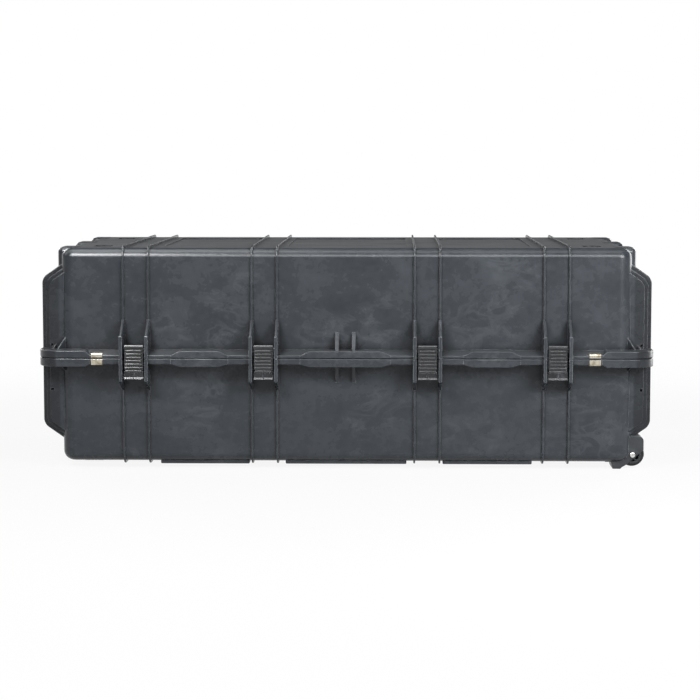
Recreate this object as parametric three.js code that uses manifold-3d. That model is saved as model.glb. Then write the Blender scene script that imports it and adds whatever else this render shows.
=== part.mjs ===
// Wheeled transport case: two moulded shells on four hinges, with lever latches and end handles.
// Millimetres. X runs along the length, the latches face -Y and Z is up.
import * as THREE from "three";
import { mergeVertices } from "three/addons/utils/BufferGeometryUtils.js";
import Module from "manifold-3d";

const wasm = await Module();
wasm.setup();

// Fits that the whole case shares
const clearance = 0.3;
const runningGap = 0.6;
const overrun = 4;

// Body of both shells
const bodyLength = 1072;
const bodyDepth = 556;
const baseHeight = 199;
const lidHeight = 203;
const groundGap = 13.5;
const wall = 5;
const draft = 5;
const cornerRadius = 30;
const edgeRadius = 18;
const cornerSteps = 4;
const edgeSteps = 3;
const smallCornerSteps = 2;
const roundingSteps = 3;

// Lip at the parting line
const lipReach = 37;
const lipCornerRadius = 45;
const lidLipEdge = 6;
const lidLipRoot = 13;
const baseLipEdge = 11;
const baseLipRoot = 15;
const channelInner = 3.5;
const channelOuter = 33.5;
const channelRoof = 4.5;
const blockReach = 38;
const lidBlockHeight = 14;
const baseBlockHeight = 16;
const middleBlockHalf = 67;
const smallBlockHalf = 36;
const blockChamfer = 17;
const blockCrown = 1;
const smallBlockShift = 1.4;
const cornerBlockInset = 52;
const cornerBlockDepth = 118;
const cornerBlockChamfer = 9;
const prySlotHalf = 27;
const prySlotHeight = 3;
const prySlotDepth = 8;

// Ribs, and the ears that continue them past the latches
const innerPair = 152.3;
const outerPairInset = 142.5;
const ribOffset = 23.7;
const ribThickness = 3.6;
const ribHeight = 5;
const earThickness = 6;
const earReach = 44;
const earBaseFlat = 44;
const earLidFlat = 42;
const earBaseEnd = 62;
const earLidEnd = 69;
const earToe = 5;
const earRounding = 12;
const backGussetReach = 30;
const strikeReach = 14;
const strikeRim = 3.5;
const strikeDrop = 11;

// Gussets above and below the lip
const gussetPlaces = [-16.3, 15];
const gussetThickness = 7;
const gussetReach = 30;
const gussetSink = 1;
const gussetLidRise = 46;
const gussetBaseDrop = 48;
const cornerGussetAngles = [0.42, 1.15];
const cornerGussetThickness = 5;
const cornerGussetReach = 28;
const cornerGussetRise = 34;
const cornerGussetDrop = 29;

// End bumpers, whose fronts step back in three layers
const bumperSteps = 3;
const bumperStep = 7.5;
const bumperRoot = -6;
const bumperInset = 13;
const bumperBaseEdge = 131;
const bumperBaseRoot = 161;
const bumperLidEdge = 146;
const bumperLidRoot = 176;
const bumperRounding = 10;
const bumperSkin = 3;
const bumperPocketInner = 124;
const bumperPocketOuter = 235;
const bumperPocketNear = 22;
const bumperPocketFar = 112;
const bumperHoleSize = 5;
const bumperHoleDepth = 12;
const bumperHoleRise = 21;

// Top and bottom of the shells
const panelMiddleMargin = 38.3;
const panelInnerMargin = 29.7;
const panelOuterMargin = 43.5;
const panelHalfDepth = 205;
const panelCorner = 14;
const panelRecess = 2;
const padThickness = 3.5;
const bossPlaces = [-215, 0, 215];
const bossLength = 46;
const bossWidth = 62;
const bossInset = 13;
const bossRise = 1;
const bossDrop = 38;
const bossCorner = 12;
const bossDome = 10;
const bossDomeSteps = 3;
const latticeLength = 34;
const latticeWidth = 56;
const latticeEndInset = 70;
const latticeSideInset = 102;
const latticeBar = 3;
const latticeDepth = 3;

// Seal in the lid
const sealPlace = 4;
const sealWidth = 5;
const sealHeight = 4;

// Hinges along the back
const hingeReach = 38.5;
const hingePinRadius = 2.5;
const hingeKnuckleRadius = 5.5;
const hingeKnuckleHalf = 17.5;
const hingeArm = 14;

// Latches along the front
const latchPinPlace = { out: 29, up: 17 };
const latchPinRadius = 2.25;
const leverPlateInner = 34.4;
const leverPlateThickness = 3.1;
const leverTop = 22;
const leverBottom = -27;
const leverFieldHalf = 14.5;
const leverBarHalf = 18;
const leverBarBottom = 18;
const leverBarTop = 25;
const leverBarInner = 31;
const leverTabBottom = -39;
const leverTabFlare = 3.5;
const leverTabThickness = 2.6;
const leverTabWebHalf = 2;
const cheekThickness = 3;
const cheekInner = 24.5;
const cheekNeck = 26.5;
const cheekBottom = -17;
const ridgeCount = 7;
const ridgePitch = 6.3;
const ridgeTopPlace = 13.9;
const ridgeHeight = 3.6;
const ridgeCrest = 1.6;
const ridgeProud = 2.2;
const ridgeArch = 1.2;
const hookPinPlace = { out: 30, up: -10 };
const hookPinRadius = 1.75;
const hookBarrelRadius = 3.9;
const hookHalf = 14;
const hookNoseTop = -19;
const hookNoseBottom = -27;
const hookBackOut = 31.5;
const hookBackUp = -16;
const hookHeel = 24;
const hookThroatOut = 22;
const hookThroatUp = -16.5;

// Padlock protectors on the lip
const plateInset = 74;
const plateWidth = 21;
const plateThickness = 1.5;
const plateSeatLid = 8;
const plateSeatReach = 14;
const plateBlockHalf = 17;
const padlockHoleRadius = 4.25;
const padlockHoleOut = 26;

// Fold-down handles in the end bumpers
const handlePivotOut = 17;
const handlePivotDrop = 63;
const handleArmPlace = 68;
const handleArmWidth = 12;
const handleArmHalf = 8;
const handleArmLength = 54;
const handleGripRadius = 11;
const handleGripHalf = 62;
const handlePocketHalf = 92;
const handlePocketNear = 29;
const handlePocketFar = 143;
const handleRodRadius = 4;
const handleRodSeat = 13;

// Wheels in the lower corners of one end
const wheelOut = 3;
const wheelSideInset = 44;
const wheelHeight = 27;
const wheelRadius = 23;
const wheelWidth = 38;
const tyreThickness = 6;
const tyreCrown = 3;
const hubWeb = 12;
const hubRim = 3;
const hubBossRadius = 9;
const bushingRadius = 5.5;
const axleRadius = 3;
const axleHeadRadius = 5.2;
const axleHeadHeight = 3.6;
const nutRadius = 5.6;
const nutHeight = 4.2;
const housingPlate = 6;
const housingSideGap = 2;
const housingInset = 49;
const housingReach = 24;
const housingTop = 61.7;
const housingWheelGap = 2.5;
const housingCorner = 6;
const housingNotch = 36;
const housingToeInset = 9;
const housingToeHeight = 8;
const footInset = 5;
const footEndInset = 18;
const footChamfer = 3;

// Feet under the other end
const footEndPlace = 46;
const footSidePlace = 128;
const footHalf = 20;
const footTopInset = 3;

// Pressure valve in the wall above one handle
const valveDrop = 42;
const valveStemRadius = 5;
const valveFlangeRadius = 9;
const valveFlangeThickness = 3;
const valveSealInner = 6;
const valveSealThickness = 1.2;
const valveCapRadius = 8;
const valveCapThickness = 5;
const valveNutRadius = 8.5;
const valveNutThickness = 4;
const valveStemTail = 2;

// Facets of round pieces
const pinSides = 10;
const wheelSides = 18;
const gripSides = 12;
const nutSides = 6;

// Levels and faces that follow from the sizes
const partingHeight = groundGap + baseHeight;
const halfLength = bodyLength / 2;
const halfDepth = bodyDepth / 2;
const lidTop = partingHeight + lidHeight;
const outerPair = halfLength - outerPairInset;
const pairPlaces = [-outerPair, -innerPair, innerPair, outerPair];
const smallBlockPlace = (innerPair + outerPair) / 2 - smallBlockShift;
const cornerBlockStart = halfLength - cornerBlockInset;
const bumperHalfDepth = halfDepth - bumperInset;
const panelRanges = [
  [panelOuterMargin - outerPair, -innerPair - panelInnerMargin],
  [panelMiddleMargin - innerPair, innerPair - panelMiddleMargin],
  [innerPair + panelInnerMargin, outerPair - panelOuterMargin],
];
const latticePlaceX = halfLength - latticeEndInset;
const latticePlaceY = halfDepth - latticeSideInset;
const plateCentre = halfLength - plateInset;
const wheelPlaceX = halfLength + wheelOut;
const wheelPlaceY = halfDepth - wheelSideInset;
const housingStart = halfLength - housingInset;
const housingEnd = halfLength + housingReach;
const housingToe = halfLength - housingToeInset;
const footEnd = halfLength - footEndInset;
const footPlaceX = halfLength - footEndPlace;
const footPlaceY = halfDepth - footSidePlace;
const earInner = ribOffset - earThickness / 2;
const earOuter = ribOffset + earThickness / 2;
const earPlaces = pairPlaces.flatMap((place) => [place - ribOffset, place + ribOffset]);
const lid = { up: 1, height: lidHeight };
const base = { up: -1, height: baseHeight };

// Finishes seen on the case
const finishes = {
  shell: { color: 0x4a4d50, roughness: 0.55, metalness: 0 },
  fitting: { color: 0x3a3c3f, roughness: 0.6, metalness: 0 },
  rubber: { color: 0x1d1e20, roughness: 0.85, metalness: 0 },
  steel: { color: 0xc4c0b4, roughness: 0.35, metalness: 1 },
};

// Solids from three.js geometry
function solid(geometry) {
  geometry.deleteAttribute("normal");
  geometry.deleteAttribute("uv");
  const merged = mergeVertices(geometry);
  return new wasm.Manifold(new wasm.Mesh({
    numProp: 3,
    vertProperties: Float32Array.from(merged.attributes.position.array),
    triVerts: Uint32Array.from(merged.index.array),
  }));
}

function join(solids) {
  return solids.reduce((whole, next) => whole.add(next));
}

function extrusion(points, length) {
  const shape = new THREE.Shape(points.map(([across, up]) => new THREE.Vector2(across, up)));
  return new THREE.ExtrudeGeometry(shape, { depth: length, bevelEnabled: false });
}

// An outline of Y and Z drawn out along X
function alongX(points, from, to) {
  const turn = new THREE.Matrix4().makeBasis(
    new THREE.Vector3(0, 1, 0),
    new THREE.Vector3(0, 0, 1),
    new THREE.Vector3(1, 0, 0),
  );
  return solid(extrusion(points, to - from).applyMatrix4(turn).translate(from, 0, 0));
}

// An outline of X and Z drawn out along Y
function alongY(points, from, to) {
  return solid(extrusion(points, to - from).rotateX(Math.PI / 2).translate(0, to, 0));
}

// An outline of X and Y drawn out along Z
function alongZ(points, from, to) {
  return solid(extrusion(points, to - from).translate(0, 0, from));
}

function block(xRange, yRange, zRange) {
  const ranges = [xRange, yRange, zRange].map((range) => [Math.min(...range), Math.max(...range)]);
  const sizes = ranges.map(([low, high]) => high - low);
  const middles = ranges.map(([low, high]) => (low + high) / 2);
  return solid(new THREE.BoxGeometry(...sizes).translate(...middles));
}

function rodAlongX(radius, from, to, y, z, sides = pinSides) {
  const rod = new THREE.CylinderGeometry(radius, radius, to - from, sides);
  return solid(rod.rotateZ(Math.PI / 2).translate((from + to) / 2, y, z));
}

function rodAlongY(radius, from, to, x, z, sides = pinSides) {
  const rod = new THREE.CylinderGeometry(radius, radius, to - from, sides);
  return solid(rod.translate(x, (from + to) / 2, z));
}

function rodAlongZ(radius, from, to, x, y, sides = pinSides) {
  const rod = new THREE.CylinderGeometry(radius, radius, to - from, sides);
  return solid(rod.rotateX(Math.PI / 2).translate(x, y, (from + to) / 2));
}

function arc(centre, radius, fromAngle, toAngle, steps) {
  return Array.from({ length: steps + 1 }, (_, step) => {
    const angle = fromAngle + ((toAngle - fromAngle) * step) / steps;
    return [centre[0] + radius * Math.cos(angle), centre[1] + radius * Math.sin(angle)];
  });
}

function roundedRectangle(halfX, halfY, radius, steps = cornerSteps) {
  const corners = [[1, 1], [-1, 1], [-1, -1], [1, -1]];
  return corners.flatMap(([signX, signY], quarter) => {
    const centre = [signX * (halfX - radius), signY * (halfY - radius)];
    return arc(centre, radius, (quarter * Math.PI) / 2, ((quarter + 1) * Math.PI) / 2, steps);
  });
}

// Points that round off a corner, starting at a distance from it on both sides
function roundCorner(before, corner, after, distance) {
  const [from, at, to] = [before, corner, after].map((point) => new THREE.Vector2(...point));
  const start = from.sub(at).setLength(distance).add(at);
  const end = to.sub(at).setLength(distance).add(at);
  return new THREE.QuadraticBezierCurve(start, at, end).getPoints(roundingSteps).map(({ x, y }) => [x, y]);
}

// A skin over a stack of rounded rectangles, closed at both ends
function loft(sections, steps = cornerSteps) {
  const stack = [...sections].sort((low, high) => low.z - high.z);
  const rings = stack.map((ring) => roundedRectangle(ring.halfX, ring.halfY, ring.radius, steps));
  const count = rings[0].length;
  const places = rings.flatMap((ring, level) => ring.flatMap(([x, y]) => [x, y, stack[level].z]));
  const last = (rings.length - 1) * count;
  const faces = [];
  for (let point = 0; point < count; point += 1) {
    const next = (point + 1) % count;
    for (let level = 0; level < last; level += count) {
      faces.push(level + point, level + next, level + count + next);
      faces.push(level + point, level + count + next, level + count + point);
    }
    if (point > 0 && next > 0) {
      faces.push(0, next, point);
      faces.push(last, last + point, last + next);
    }
  }
  const skin = new THREE.BufferGeometry();
  skin.setAttribute("position", new THREE.Float32BufferAttribute(places, 3));
  skin.setIndex(faces);
  return solid(skin);
}

// Sections of a drafted, round-edged shell body, drawn in by an inset
function bodyBlock(shell, inset, start) {
  const edge = edgeRadius - inset;
  const depthAt = (depth, drawnIn) => ({
    halfX: halfLength - inset - (draft * depth) / shell.height - drawnIn,
    halfY: halfDepth - inset - (draft * depth) / shell.height - drawnIn,
    radius: cornerRadius - inset - drawnIn,
    z: partingHeight + shell.up * depth,
  });
  const straight = shell.height - inset - edge;
  const rounded = arc([0, 0], edge, 0, Math.PI / 2, edgeSteps);
  return loft([
    depthAt(start, 0),
    ...rounded.map(([across, deep]) => depthAt(straight + deep, edge - across)),
  ]);
}

function lipSection(out, level) {
  return {
    halfX: halfLength + out,
    halfY: halfDepth + out,
    radius: cornerRadius + ((lipCornerRadius - cornerRadius) * out) / lipReach,
    z: partingHeight + level,
  };
}

// A piece of an upright side plate: points are out of the wall and up from the parting line
function sidePlate(points, from, to, side) {
  const placed = points.map(([out, up]) => [side * (halfDepth + out), partingHeight + up]);
  return alongX(placed, from, to);
}

function rib(shell, place) {
  const radius = edgeRadius + ribHeight;
  const far = shell.height + ribHeight;
  const open = halfDepth + ribHeight;
  const closed = open - draft;
  const outline = [
    [open, clearance],
    ...arc([closed - radius, far - radius], radius, 0, Math.PI / 2, edgeSteps),
    ...arc([radius - closed, far - radius], radius, Math.PI / 2, Math.PI, edgeSteps),
    [-open, clearance],
  ];
  const placed = outline.map(([across, depth]) => [across, partingHeight + shell.up * depth]);
  return alongX(placed, place - ribThickness / 2, place + ribThickness / 2);
}

// The lip with its root fillet, and the raised blocks that stiffen it
function lip(shell, edge, root) {
  return loft([
    lipSection(lipReach, shell.up * clearance),
    lipSection(lipReach, shell.up * edge),
    lipSection(0, shell.up * root),
  ]);
}

function blockOutline(centre, half, chamfer, edge, height, shell) {
  const flank = half + chamfer;
  const outline = [[-flank, 0], [-flank, edge], [-half, height], [half, height], [flank, edge], [flank, 0]];
  return outline.map(([across, rise]) => [centre + across, partingHeight + shell.up * rise]);
}

function lipBlocks(shell, edge, height) {
  const thick = loft([
    lipSection(blockReach, shell.up * clearance),
    lipSection(blockReach, shell.up * (height - blockCrown)),
    lipSection(blockReach - blockCrown, shell.up * height),
  ]);
  const frontRange = [-halfDepth - lipReach - overrun, -halfDepth + wall / 2];
  const middle = alongY(blockOutline(0, middleBlockHalf, blockChamfer, edge, height, shell), ...frontRange);
  const small = [-1, 1].map((side) => alongY(
    blockOutline(side * smallBlockPlace, smallBlockHalf, blockChamfer, edge, height, shell),
    ...frontRange,
  ));
  const cornerHalf = (halfLength + lipReach + overrun - cornerBlockStart) / 2;
  const cornerCentre = cornerBlockStart + cornerHalf;
  const edgeLine = halfDepth + lipReach + overrun;
  const corners = [-1, 1].flatMap((side) => {
    const outline = blockOutline(side * cornerCentre, cornerHalf, cornerBlockChamfer, edge, height, shell);
    return [
      alongY(outline, -edgeLine, cornerBlockDepth - halfDepth),
      alongY(outline, halfDepth - cornerBlockDepth, edgeLine),
    ];
  });
  return thick.intersect(join([middle, ...small, ...corners]));
}

function prySlots() {
  const mouth = halfDepth + blockReach;
  return [-1, 1].map((side) => block(
    [side * smallBlockPlace - prySlotHalf, side * smallBlockPlace + prySlotHalf],
    [-mouth - overrun, -mouth + prySlotDepth],
    [partingHeight - prySlotHeight / 2, partingHeight + prySlotHeight / 2],
  ));
}

// Gussets at the middle of the front, and two around each corner
function gussets(shell, foot, middleRise, cornerRise) {
  const outline = (reach, rise) => [
    [-wall / 2, shell.up * foot],
    [reach, shell.up * foot],
    [0, shell.up * rise],
    [-wall / 2, shell.up * rise],
  ];
  const middle = gussetPlaces.map((place) => sidePlate(
    outline(gussetReach, middleRise),
    place - gussetThickness / 2,
    place + gussetThickness / 2,
    -1,
  ));
  const corners = [0, 1, 2, 3].flatMap((quarter) => cornerGussetAngles.map((angle) => {
    const points = outline(cornerGussetReach, cornerRise).map(([out, up]) => [
      cornerRadius + out,
      partingHeight + up,
    ]);
    const plate = extrusion(points, cornerGussetThickness).translate(0, 0, -cornerGussetThickness / 2);
    const mirrored = quarter % 2 === 0 ? angle : Math.PI / 2 - angle;
    const signX = quarter === 0 || quarter === 3 ? 1 : -1;
    const signY = quarter < 2 ? 1 : -1;
    plate.rotateX(Math.PI / 2).rotateZ(mirrored + (quarter * Math.PI) / 2);
    plate.translate(signX * (halfLength - cornerRadius), signY * (halfDepth - cornerRadius), 0);
    return solid(plate);
  }));
  return [...middle, ...corners];
}

// The stepped bumper at one end, with pockets that keep its walls thin
function bumper(shell, side, edgeDepth, rootDepth) {
  const slope = (rootDepth - edgeDepth) / (lipReach - bumperRoot);
  const layers = Array.from({ length: bumperSteps }, (_, step) => {
    const inset = bumperStep * (bumperSteps - 1 - step);
    const reach = lipReach - inset;
    const depthAt = (out) => rootDepth - slope * (out - bumperRoot) - inset * Math.hypot(1, slope);
    const near = [reach, clearance];
    const far = [bumperRoot, depthAt(bumperRoot)];
    const shoulder = roundCorner(near, [reach, depthAt(reach)], far, bumperRounding);
    const outline = [[bumperRoot, clearance], near, ...shoulder, far];
    const placed = outline.map(([out, deep]) => [side * (halfLength + out), partingHeight + shell.up * deep]);
    const half = bumperHalfDepth - bumperStep * step;
    return alongY(placed, -half, half);
  });
  const pocketX = [side * (halfLength + bumperSkin), side * (halfLength + lipReach + overrun)];
  const pocketZ = [
    partingHeight + shell.up * bumperPocketNear,
    partingHeight + shell.up * bumperPocketFar,
  ];
  const pockets = [-1, 1].map((flank) => block(
    pocketX,
    [flank * bumperPocketInner, flank * bumperPocketOuter],
    pocketZ,
  ));
  const holes = [-1, 1].map((flank) => {
    const centre = side * (halfLength + handlePivotOut);
    const depth = shell === base ? handlePivotDrop : bumperHoleRise;
    return block(
      [centre - bumperHoleSize / 2, centre + bumperHoleSize / 2],
      [flank * (bumperHalfDepth - bumperHoleDepth), flank * (bumperHalfDepth + overrun)],
      [
        partingHeight + shell.up * depth - bumperHoleSize / 2,
        partingHeight + shell.up * depth + bumperHoleSize / 2,
      ],
    );
  });
  return join(layers).subtract(join([...pockets, ...holes]));
}

// The pocket that a folded handle hangs in, with blind seats for its rod
function handlePocket(side) {
  const pivotX = side * (halfLength + handlePivotOut);
  const seat = handlePocketHalf + handleRodSeat;
  const pocket = block(
    [side * (halfLength + bumperSkin), side * (halfLength + lipReach + overrun)],
    [-handlePocketHalf, handlePocketHalf],
    [partingHeight - handlePocketFar, partingHeight - handlePocketNear],
  );
  const rod = rodAlongY(handleRodRadius + clearance, -seat, seat, pivotX, partingHeight - handlePivotDrop);
  return pocket.add(rod);
}

function lidEndPocket(side) {
  return block(
    [side * (halfLength + bumperSkin), side * (halfLength + lipReach + overrun)],
    [-handlePocketHalf, handlePocketHalf],
    [partingHeight + bumperPocketNear, partingHeight + bumperPocketFar],
  );
}

// Front ears beside each latch and the bay between them
function frontEars(shell, flat, end) {
  const near = [earReach, clearance];
  const far = [earToe, end];
  const shoulder = roundCorner(near, [earReach, flat], far, earRounding);
  const outline = [[-wall / 2, clearance], near, ...shoulder, far, [-wall / 2, end]]
    .map(([out, rise]) => [out, shell.up * rise]);
  return earPlaces.map((place) => sidePlate(outline, place - earThickness / 2, place + earThickness / 2, -1));
}

function latchBays() {
  return pairPlaces.map((place) => block(
    [place - earInner, place + earInner],
    [-halfDepth - lipReach - overrun, -halfDepth - strikeReach],
    [partingHeight - earBaseEnd, partingHeight + earLidEnd],
  ));
}

function strikes() {
  return pairPlaces.map((place) => sidePlate(
    [
      [strikeReach - strikeRim, -clearance],
      [strikeReach, -clearance],
      [strikeReach, -strikeDrop],
      [strikeReach - strikeRim, -strikeDrop],
    ],
    place - earInner - earThickness / 2,
    place + earInner + earThickness / 2,
    -1,
  ));
}

function latchPinHoles() {
  return pairPlaces.map((place) => rodAlongX(
    latchPinRadius + clearance,
    place - earOuter - overrun,
    place + earOuter + overrun,
    -halfDepth - latchPinPlace.out,
    partingHeight + latchPinPlace.up,
  ));
}

// Hinges: the base carries the outer ears, the lid the middle knuckle
function hingeRod(radius, from, to, place, sides = pinSides) {
  return rodAlongX(radius, place + from, place + to, halfDepth + hingeReach, partingHeight, sides);
}

function hingeEars() {
  const outline = [
    [-wall / 2, -clearance],
    [hingeReach - hingeKnuckleRadius, -clearance],
    [hingeReach, hingeKnuckleRadius / 2],
    [hingeReach + hingeKnuckleRadius, -clearance],
    [hingeReach + hingeKnuckleRadius, -earBaseFlat],
    [earToe, -earBaseEnd],
    [-wall / 2, -earBaseEnd],
  ];
  return pairPlaces.flatMap((place) => [-ribOffset, ribOffset].flatMap((offset) => {
    const from = offset - earThickness / 2;
    const to = offset + earThickness / 2;
    return [
      sidePlate(outline, place + from, place + to, 1),
      hingeRod(hingeKnuckleRadius, from, to, place),
    ];
  }));
}

function hingeGussets() {
  const outline = [
    [-wall / 2, lidLipEdge],
    [backGussetReach, lidLipEdge],
    [backGussetReach, earLidFlat],
    [earToe, earLidEnd],
    [-wall / 2, earLidEnd],
  ];
  return earPlaces.map((place) => sidePlate(outline, place - earThickness / 2, place + earThickness / 2, 1));
}

function hingeKnuckles() {
  const arm = [
    [hingeReach - hingeArm, clearance],
    [hingeReach, clearance],
    [hingeReach, hingeKnuckleRadius],
    [hingeReach - hingeArm, lidLipRoot],
    [0, lidLipRoot],
    [0, lidLipEdge],
  ];
  return pairPlaces.flatMap((place) => [
    sidePlate(arm, place - hingeKnuckleHalf, place + hingeKnuckleHalf, 1),
    hingeRod(hingeKnuckleRadius, -hingeKnuckleHalf, hingeKnuckleHalf, place),
  ]);
}

function hingeCuts() {
  const reach = earOuter + runningGap;
  return pairPlaces.map((place) => hingeRod(hingeKnuckleRadius + runningGap, -reach, reach, place));
}

function hingeBores() {
  const reach = earOuter + overrun;
  return pairPlaces.map((place) => hingeRod(hingePinRadius + clearance, -reach, reach, place));
}

// Solid stretches of lip that carry the padlock protectors, and their holes
function plateSeats(shell, height) {
  return [-1, 1].map((side) => block(
    [side * plateCentre - plateBlockHalf, side * plateCentre + plateBlockHalf],
    [-halfDepth - lipReach, -halfDepth + wall / 2],
    [partingHeight + shell.up * clearance, partingHeight + shell.up * height],
  ));
}

function plateLands(shell, seat) {
  return [-1, 1].map((side) => block(
    [
      side * plateCentre - plateWidth / 2 - clearance,
      side * plateCentre + plateWidth / 2 + clearance,
    ],
    [-halfDepth - lipReach - overrun, -halfDepth - plateSeatReach],
    [partingHeight + shell.up * seat, partingHeight + shell.up * (baseBlockHeight + overrun)],
  ));
}

function padlockHoles(radius) {
  return [-1, 1].map((side) => rodAlongZ(
    radius,
    partingHeight - baseBlockHeight - overrun,
    partingHeight + lidBlockHeight + overrun,
    side * plateCentre,
    -halfDepth - padlockHoleOut,
  ));
}

// Top of the lid: recessed panels, stacking bosses and braced pockets
function panel([from, to], low, high) {
  const points = roundedRectangle((to - from) / 2, panelHalfDepth, panelCorner)
    .map(([x, y]) => [x + (from + to) / 2, y]);
  return alongZ(points, low, high);
}

function stackingBosses() {
  const outer = halfLength - draft + bossInset;
  const dome = arc([0, lidTop + bossRise - bossDome], bossDome, 0, Math.PI / 2, bossDomeSteps);
  const section = (drawnIn, z) => ({
    halfX: bossLength / 2 - drawnIn,
    halfY: bossWidth / 2 - drawnIn,
    radius: bossCorner - drawnIn,
    z,
  });
  return [-1, 1].flatMap((side) => bossPlaces.map((place) => loft([
    section(0, lidTop - bossDrop),
    ...dome.map(([out, level]) => section(bossDome - out, level)),
  ], smallCornerSteps).translate([side * (outer - bossLength / 2), place, 0])));
}

function latticePockets() {
  const halfX = latticeLength / 2;
  const halfY = latticeWidth / 2;
  const spread = latticeBar / 2;
  const triangles = [
    [[halfX, latticeBar - halfY], [halfX, halfY - latticeBar], [spread, 0]],
    [[-halfX, halfY - latticeBar], [-halfX, latticeBar - halfY], [-spread, 0]],
    [[halfX - latticeBar, halfY], [latticeBar - halfX, halfY], [0, spread]],
    [[latticeBar - halfX, -halfY], [halfX - latticeBar, -halfY], [0, -spread]],
  ];
  return [-1, 1].flatMap((sideX) => [-1, 1].flatMap((sideY) => triangles.map((points) => alongZ(
    points.map(([x, y]) => [sideX * latticePlaceX + x, sideY * latticePlaceY + y]),
    lidTop - latticeDepth,
    lidTop + overrun,
  ))));
}

// The corner wells that the wheel housings fill
const housingHalf = wheelWidth / 2 + housingSideGap + housingPlate;

function wheelWell(side, grow) {
  return block(
    [housingStart - clearance - grow, halfLength + lipReach + overrun],
    [
      side * (wheelPlaceY - housingHalf - clearance - grow),
      side * (wheelPlaceY + housingHalf + clearance + grow),
    ],
    [-overrun, housingTop + clearance + grow],
  );
}

// The hole that the valve's stem passes through
const valveLevel = partingHeight - valveDrop;
const valveWallOuter = -(halfLength + bumperSkin);
const valveWallInner = -(halfLength - wall - (draft * valveDrop) / baseHeight);

function rodTowardsEnd(radius, from, to, sides = pinSides) {
  return rodAlongX(radius, Math.min(from, to), Math.max(from, to), 0, valveLevel, sides);
}

function buildLidShell() {
  const outside = join([
    bodyBlock(lid, 0, clearance),
    ...earPlaces.map((place) => rib(lid, place)),
    lip(lid, lidLipEdge, lidLipRoot),
    lipBlocks(lid, lidLipEdge, lidBlockHeight),
    ...gussets(lid, lidLipEdge - gussetSink, gussetLidRise, cornerGussetRise),
    bumper(lid, -1, bumperLidEdge, bumperLidRoot),
    bumper(lid, 1, bumperLidEdge, bumperLidRoot),
    ...stackingBosses(),
    ...plateSeats(lid, plateSeatLid),
  ]);
  const opened = outside.subtract(join([...latchBays(), ...hingeCuts(), ...plateLands(lid, plateSeatLid)]));
  const carried = join([
    opened,
    ...frontEars(lid, earLidFlat, earLidEnd),
    ...hingeGussets(),
    ...hingeKnuckles(),
  ]);
  const groove = loft([
    lipSection(sealPlace + sealWidth + clearance, -overrun),
    lipSection(sealPlace + sealWidth + clearance, sealHeight + clearance),
  ]).subtract(loft([
    lipSection(sealPlace - clearance, -2 * overrun),
    lipSection(sealPlace - clearance, sealHeight + overrun),
  ]));
  return carried.subtract(join([
    bodyBlock(lid, wall, -overrun),
    ...panelRanges.map((range) => panel(range, lidTop - panelRecess, lidTop + overrun)),
    ...latticePockets(),
    lidEndPocket(-1),
    lidEndPocket(1),
    groove,
    ...latchPinHoles(),
    ...hingeBores(),
    ...padlockHoles(padlockHoleRadius + clearance),
    ...prySlots(),
  ]));
}

function buildBaseShell() {
  const channel = loft([
    lipSection(channelOuter, -baseLipRoot - overrun),
    lipSection(channelOuter, -channelRoof),
  ]).subtract(loft([
    lipSection(channelInner, -baseLipRoot - 2 * overrun),
    lipSection(channelInner, overrun),
  ]));
  const outside = join([
    bodyBlock(base, 0, clearance),
    ...earPlaces.map((place) => rib(base, place)),
    lip(base, baseLipEdge, baseLipRoot).subtract(channel),
    lipBlocks(base, baseLipEdge, baseBlockHeight),
    ...gussets(base, channelRoof - gussetSink, gussetBaseDrop, cornerGussetDrop),
    bumper(base, -1, bumperBaseEdge, bumperBaseRoot),
    bumper(base, 1, bumperBaseEdge, bumperBaseRoot),
    ...plateSeats(base, baseLipEdge),
    ...panelRanges.map((range) => panel(range, groundGap - padThickness, groundGap + wall / 2)),
  ]);
  const opened = outside.subtract(join([...latchBays(), ...hingeCuts(), ...plateLands(base, baseLipEdge)]));
  const carried = join([
    opened,
    ...frontEars(base, earBaseFlat, earBaseEnd),
    ...strikes(),
    ...hingeEars(),
  ]);
  const cavity = bodyBlock(base, wall, -overrun).subtract(wheelWell(-1, wall).add(wheelWell(1, wall)));
  return carried.subtract(join([
    cavity,
    wheelWell(-1, 0),
    wheelWell(1, 0),
    handlePocket(-1),
    handlePocket(1),
    ...hingeBores(),
    ...padlockHoles(padlockHoleRadius + clearance),
    ...prySlots(),
    rodTowardsEnd(valveStemRadius + clearance, valveWallInner + wall, valveWallOuter - overrun),
  ]));
}

function buildSeal() {
  const outer = sealPlace + sealWidth;
  return loft([lipSection(outer, 0), lipSection(outer, sealHeight)]).subtract(
    loft([lipSection(sealPlace, -overrun), lipSection(sealPlace, sealHeight + overrun)]),
  );
}

// Latch pieces, drawn at the latch's own place: Y out of the wall, Z up from the parting line
function latchRod(radius, half, place, sides = pinSides) {
  return rodAlongX(radius, -half, half, place.out, place.up, sides);
}

function leverRidges() {
  const crestOut = leverPlateInner + leverPlateThickness + ridgeProud;
  const root = leverPlateInner + leverPlateThickness / 2;
  return Array.from({ length: ridgeCount }, (_, step) => {
    const level = ridgeTopPlace - step * ridgePitch;
    const profile = [
      [root, level - ridgeHeight / 2],
      [crestOut, level - ridgeCrest / 2],
      [crestOut, level + ridgeCrest / 2],
      [root, level + ridgeHeight / 2],
    ];
    return alongX(profile, -leverFieldHalf, leverFieldHalf);
  });
}

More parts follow.
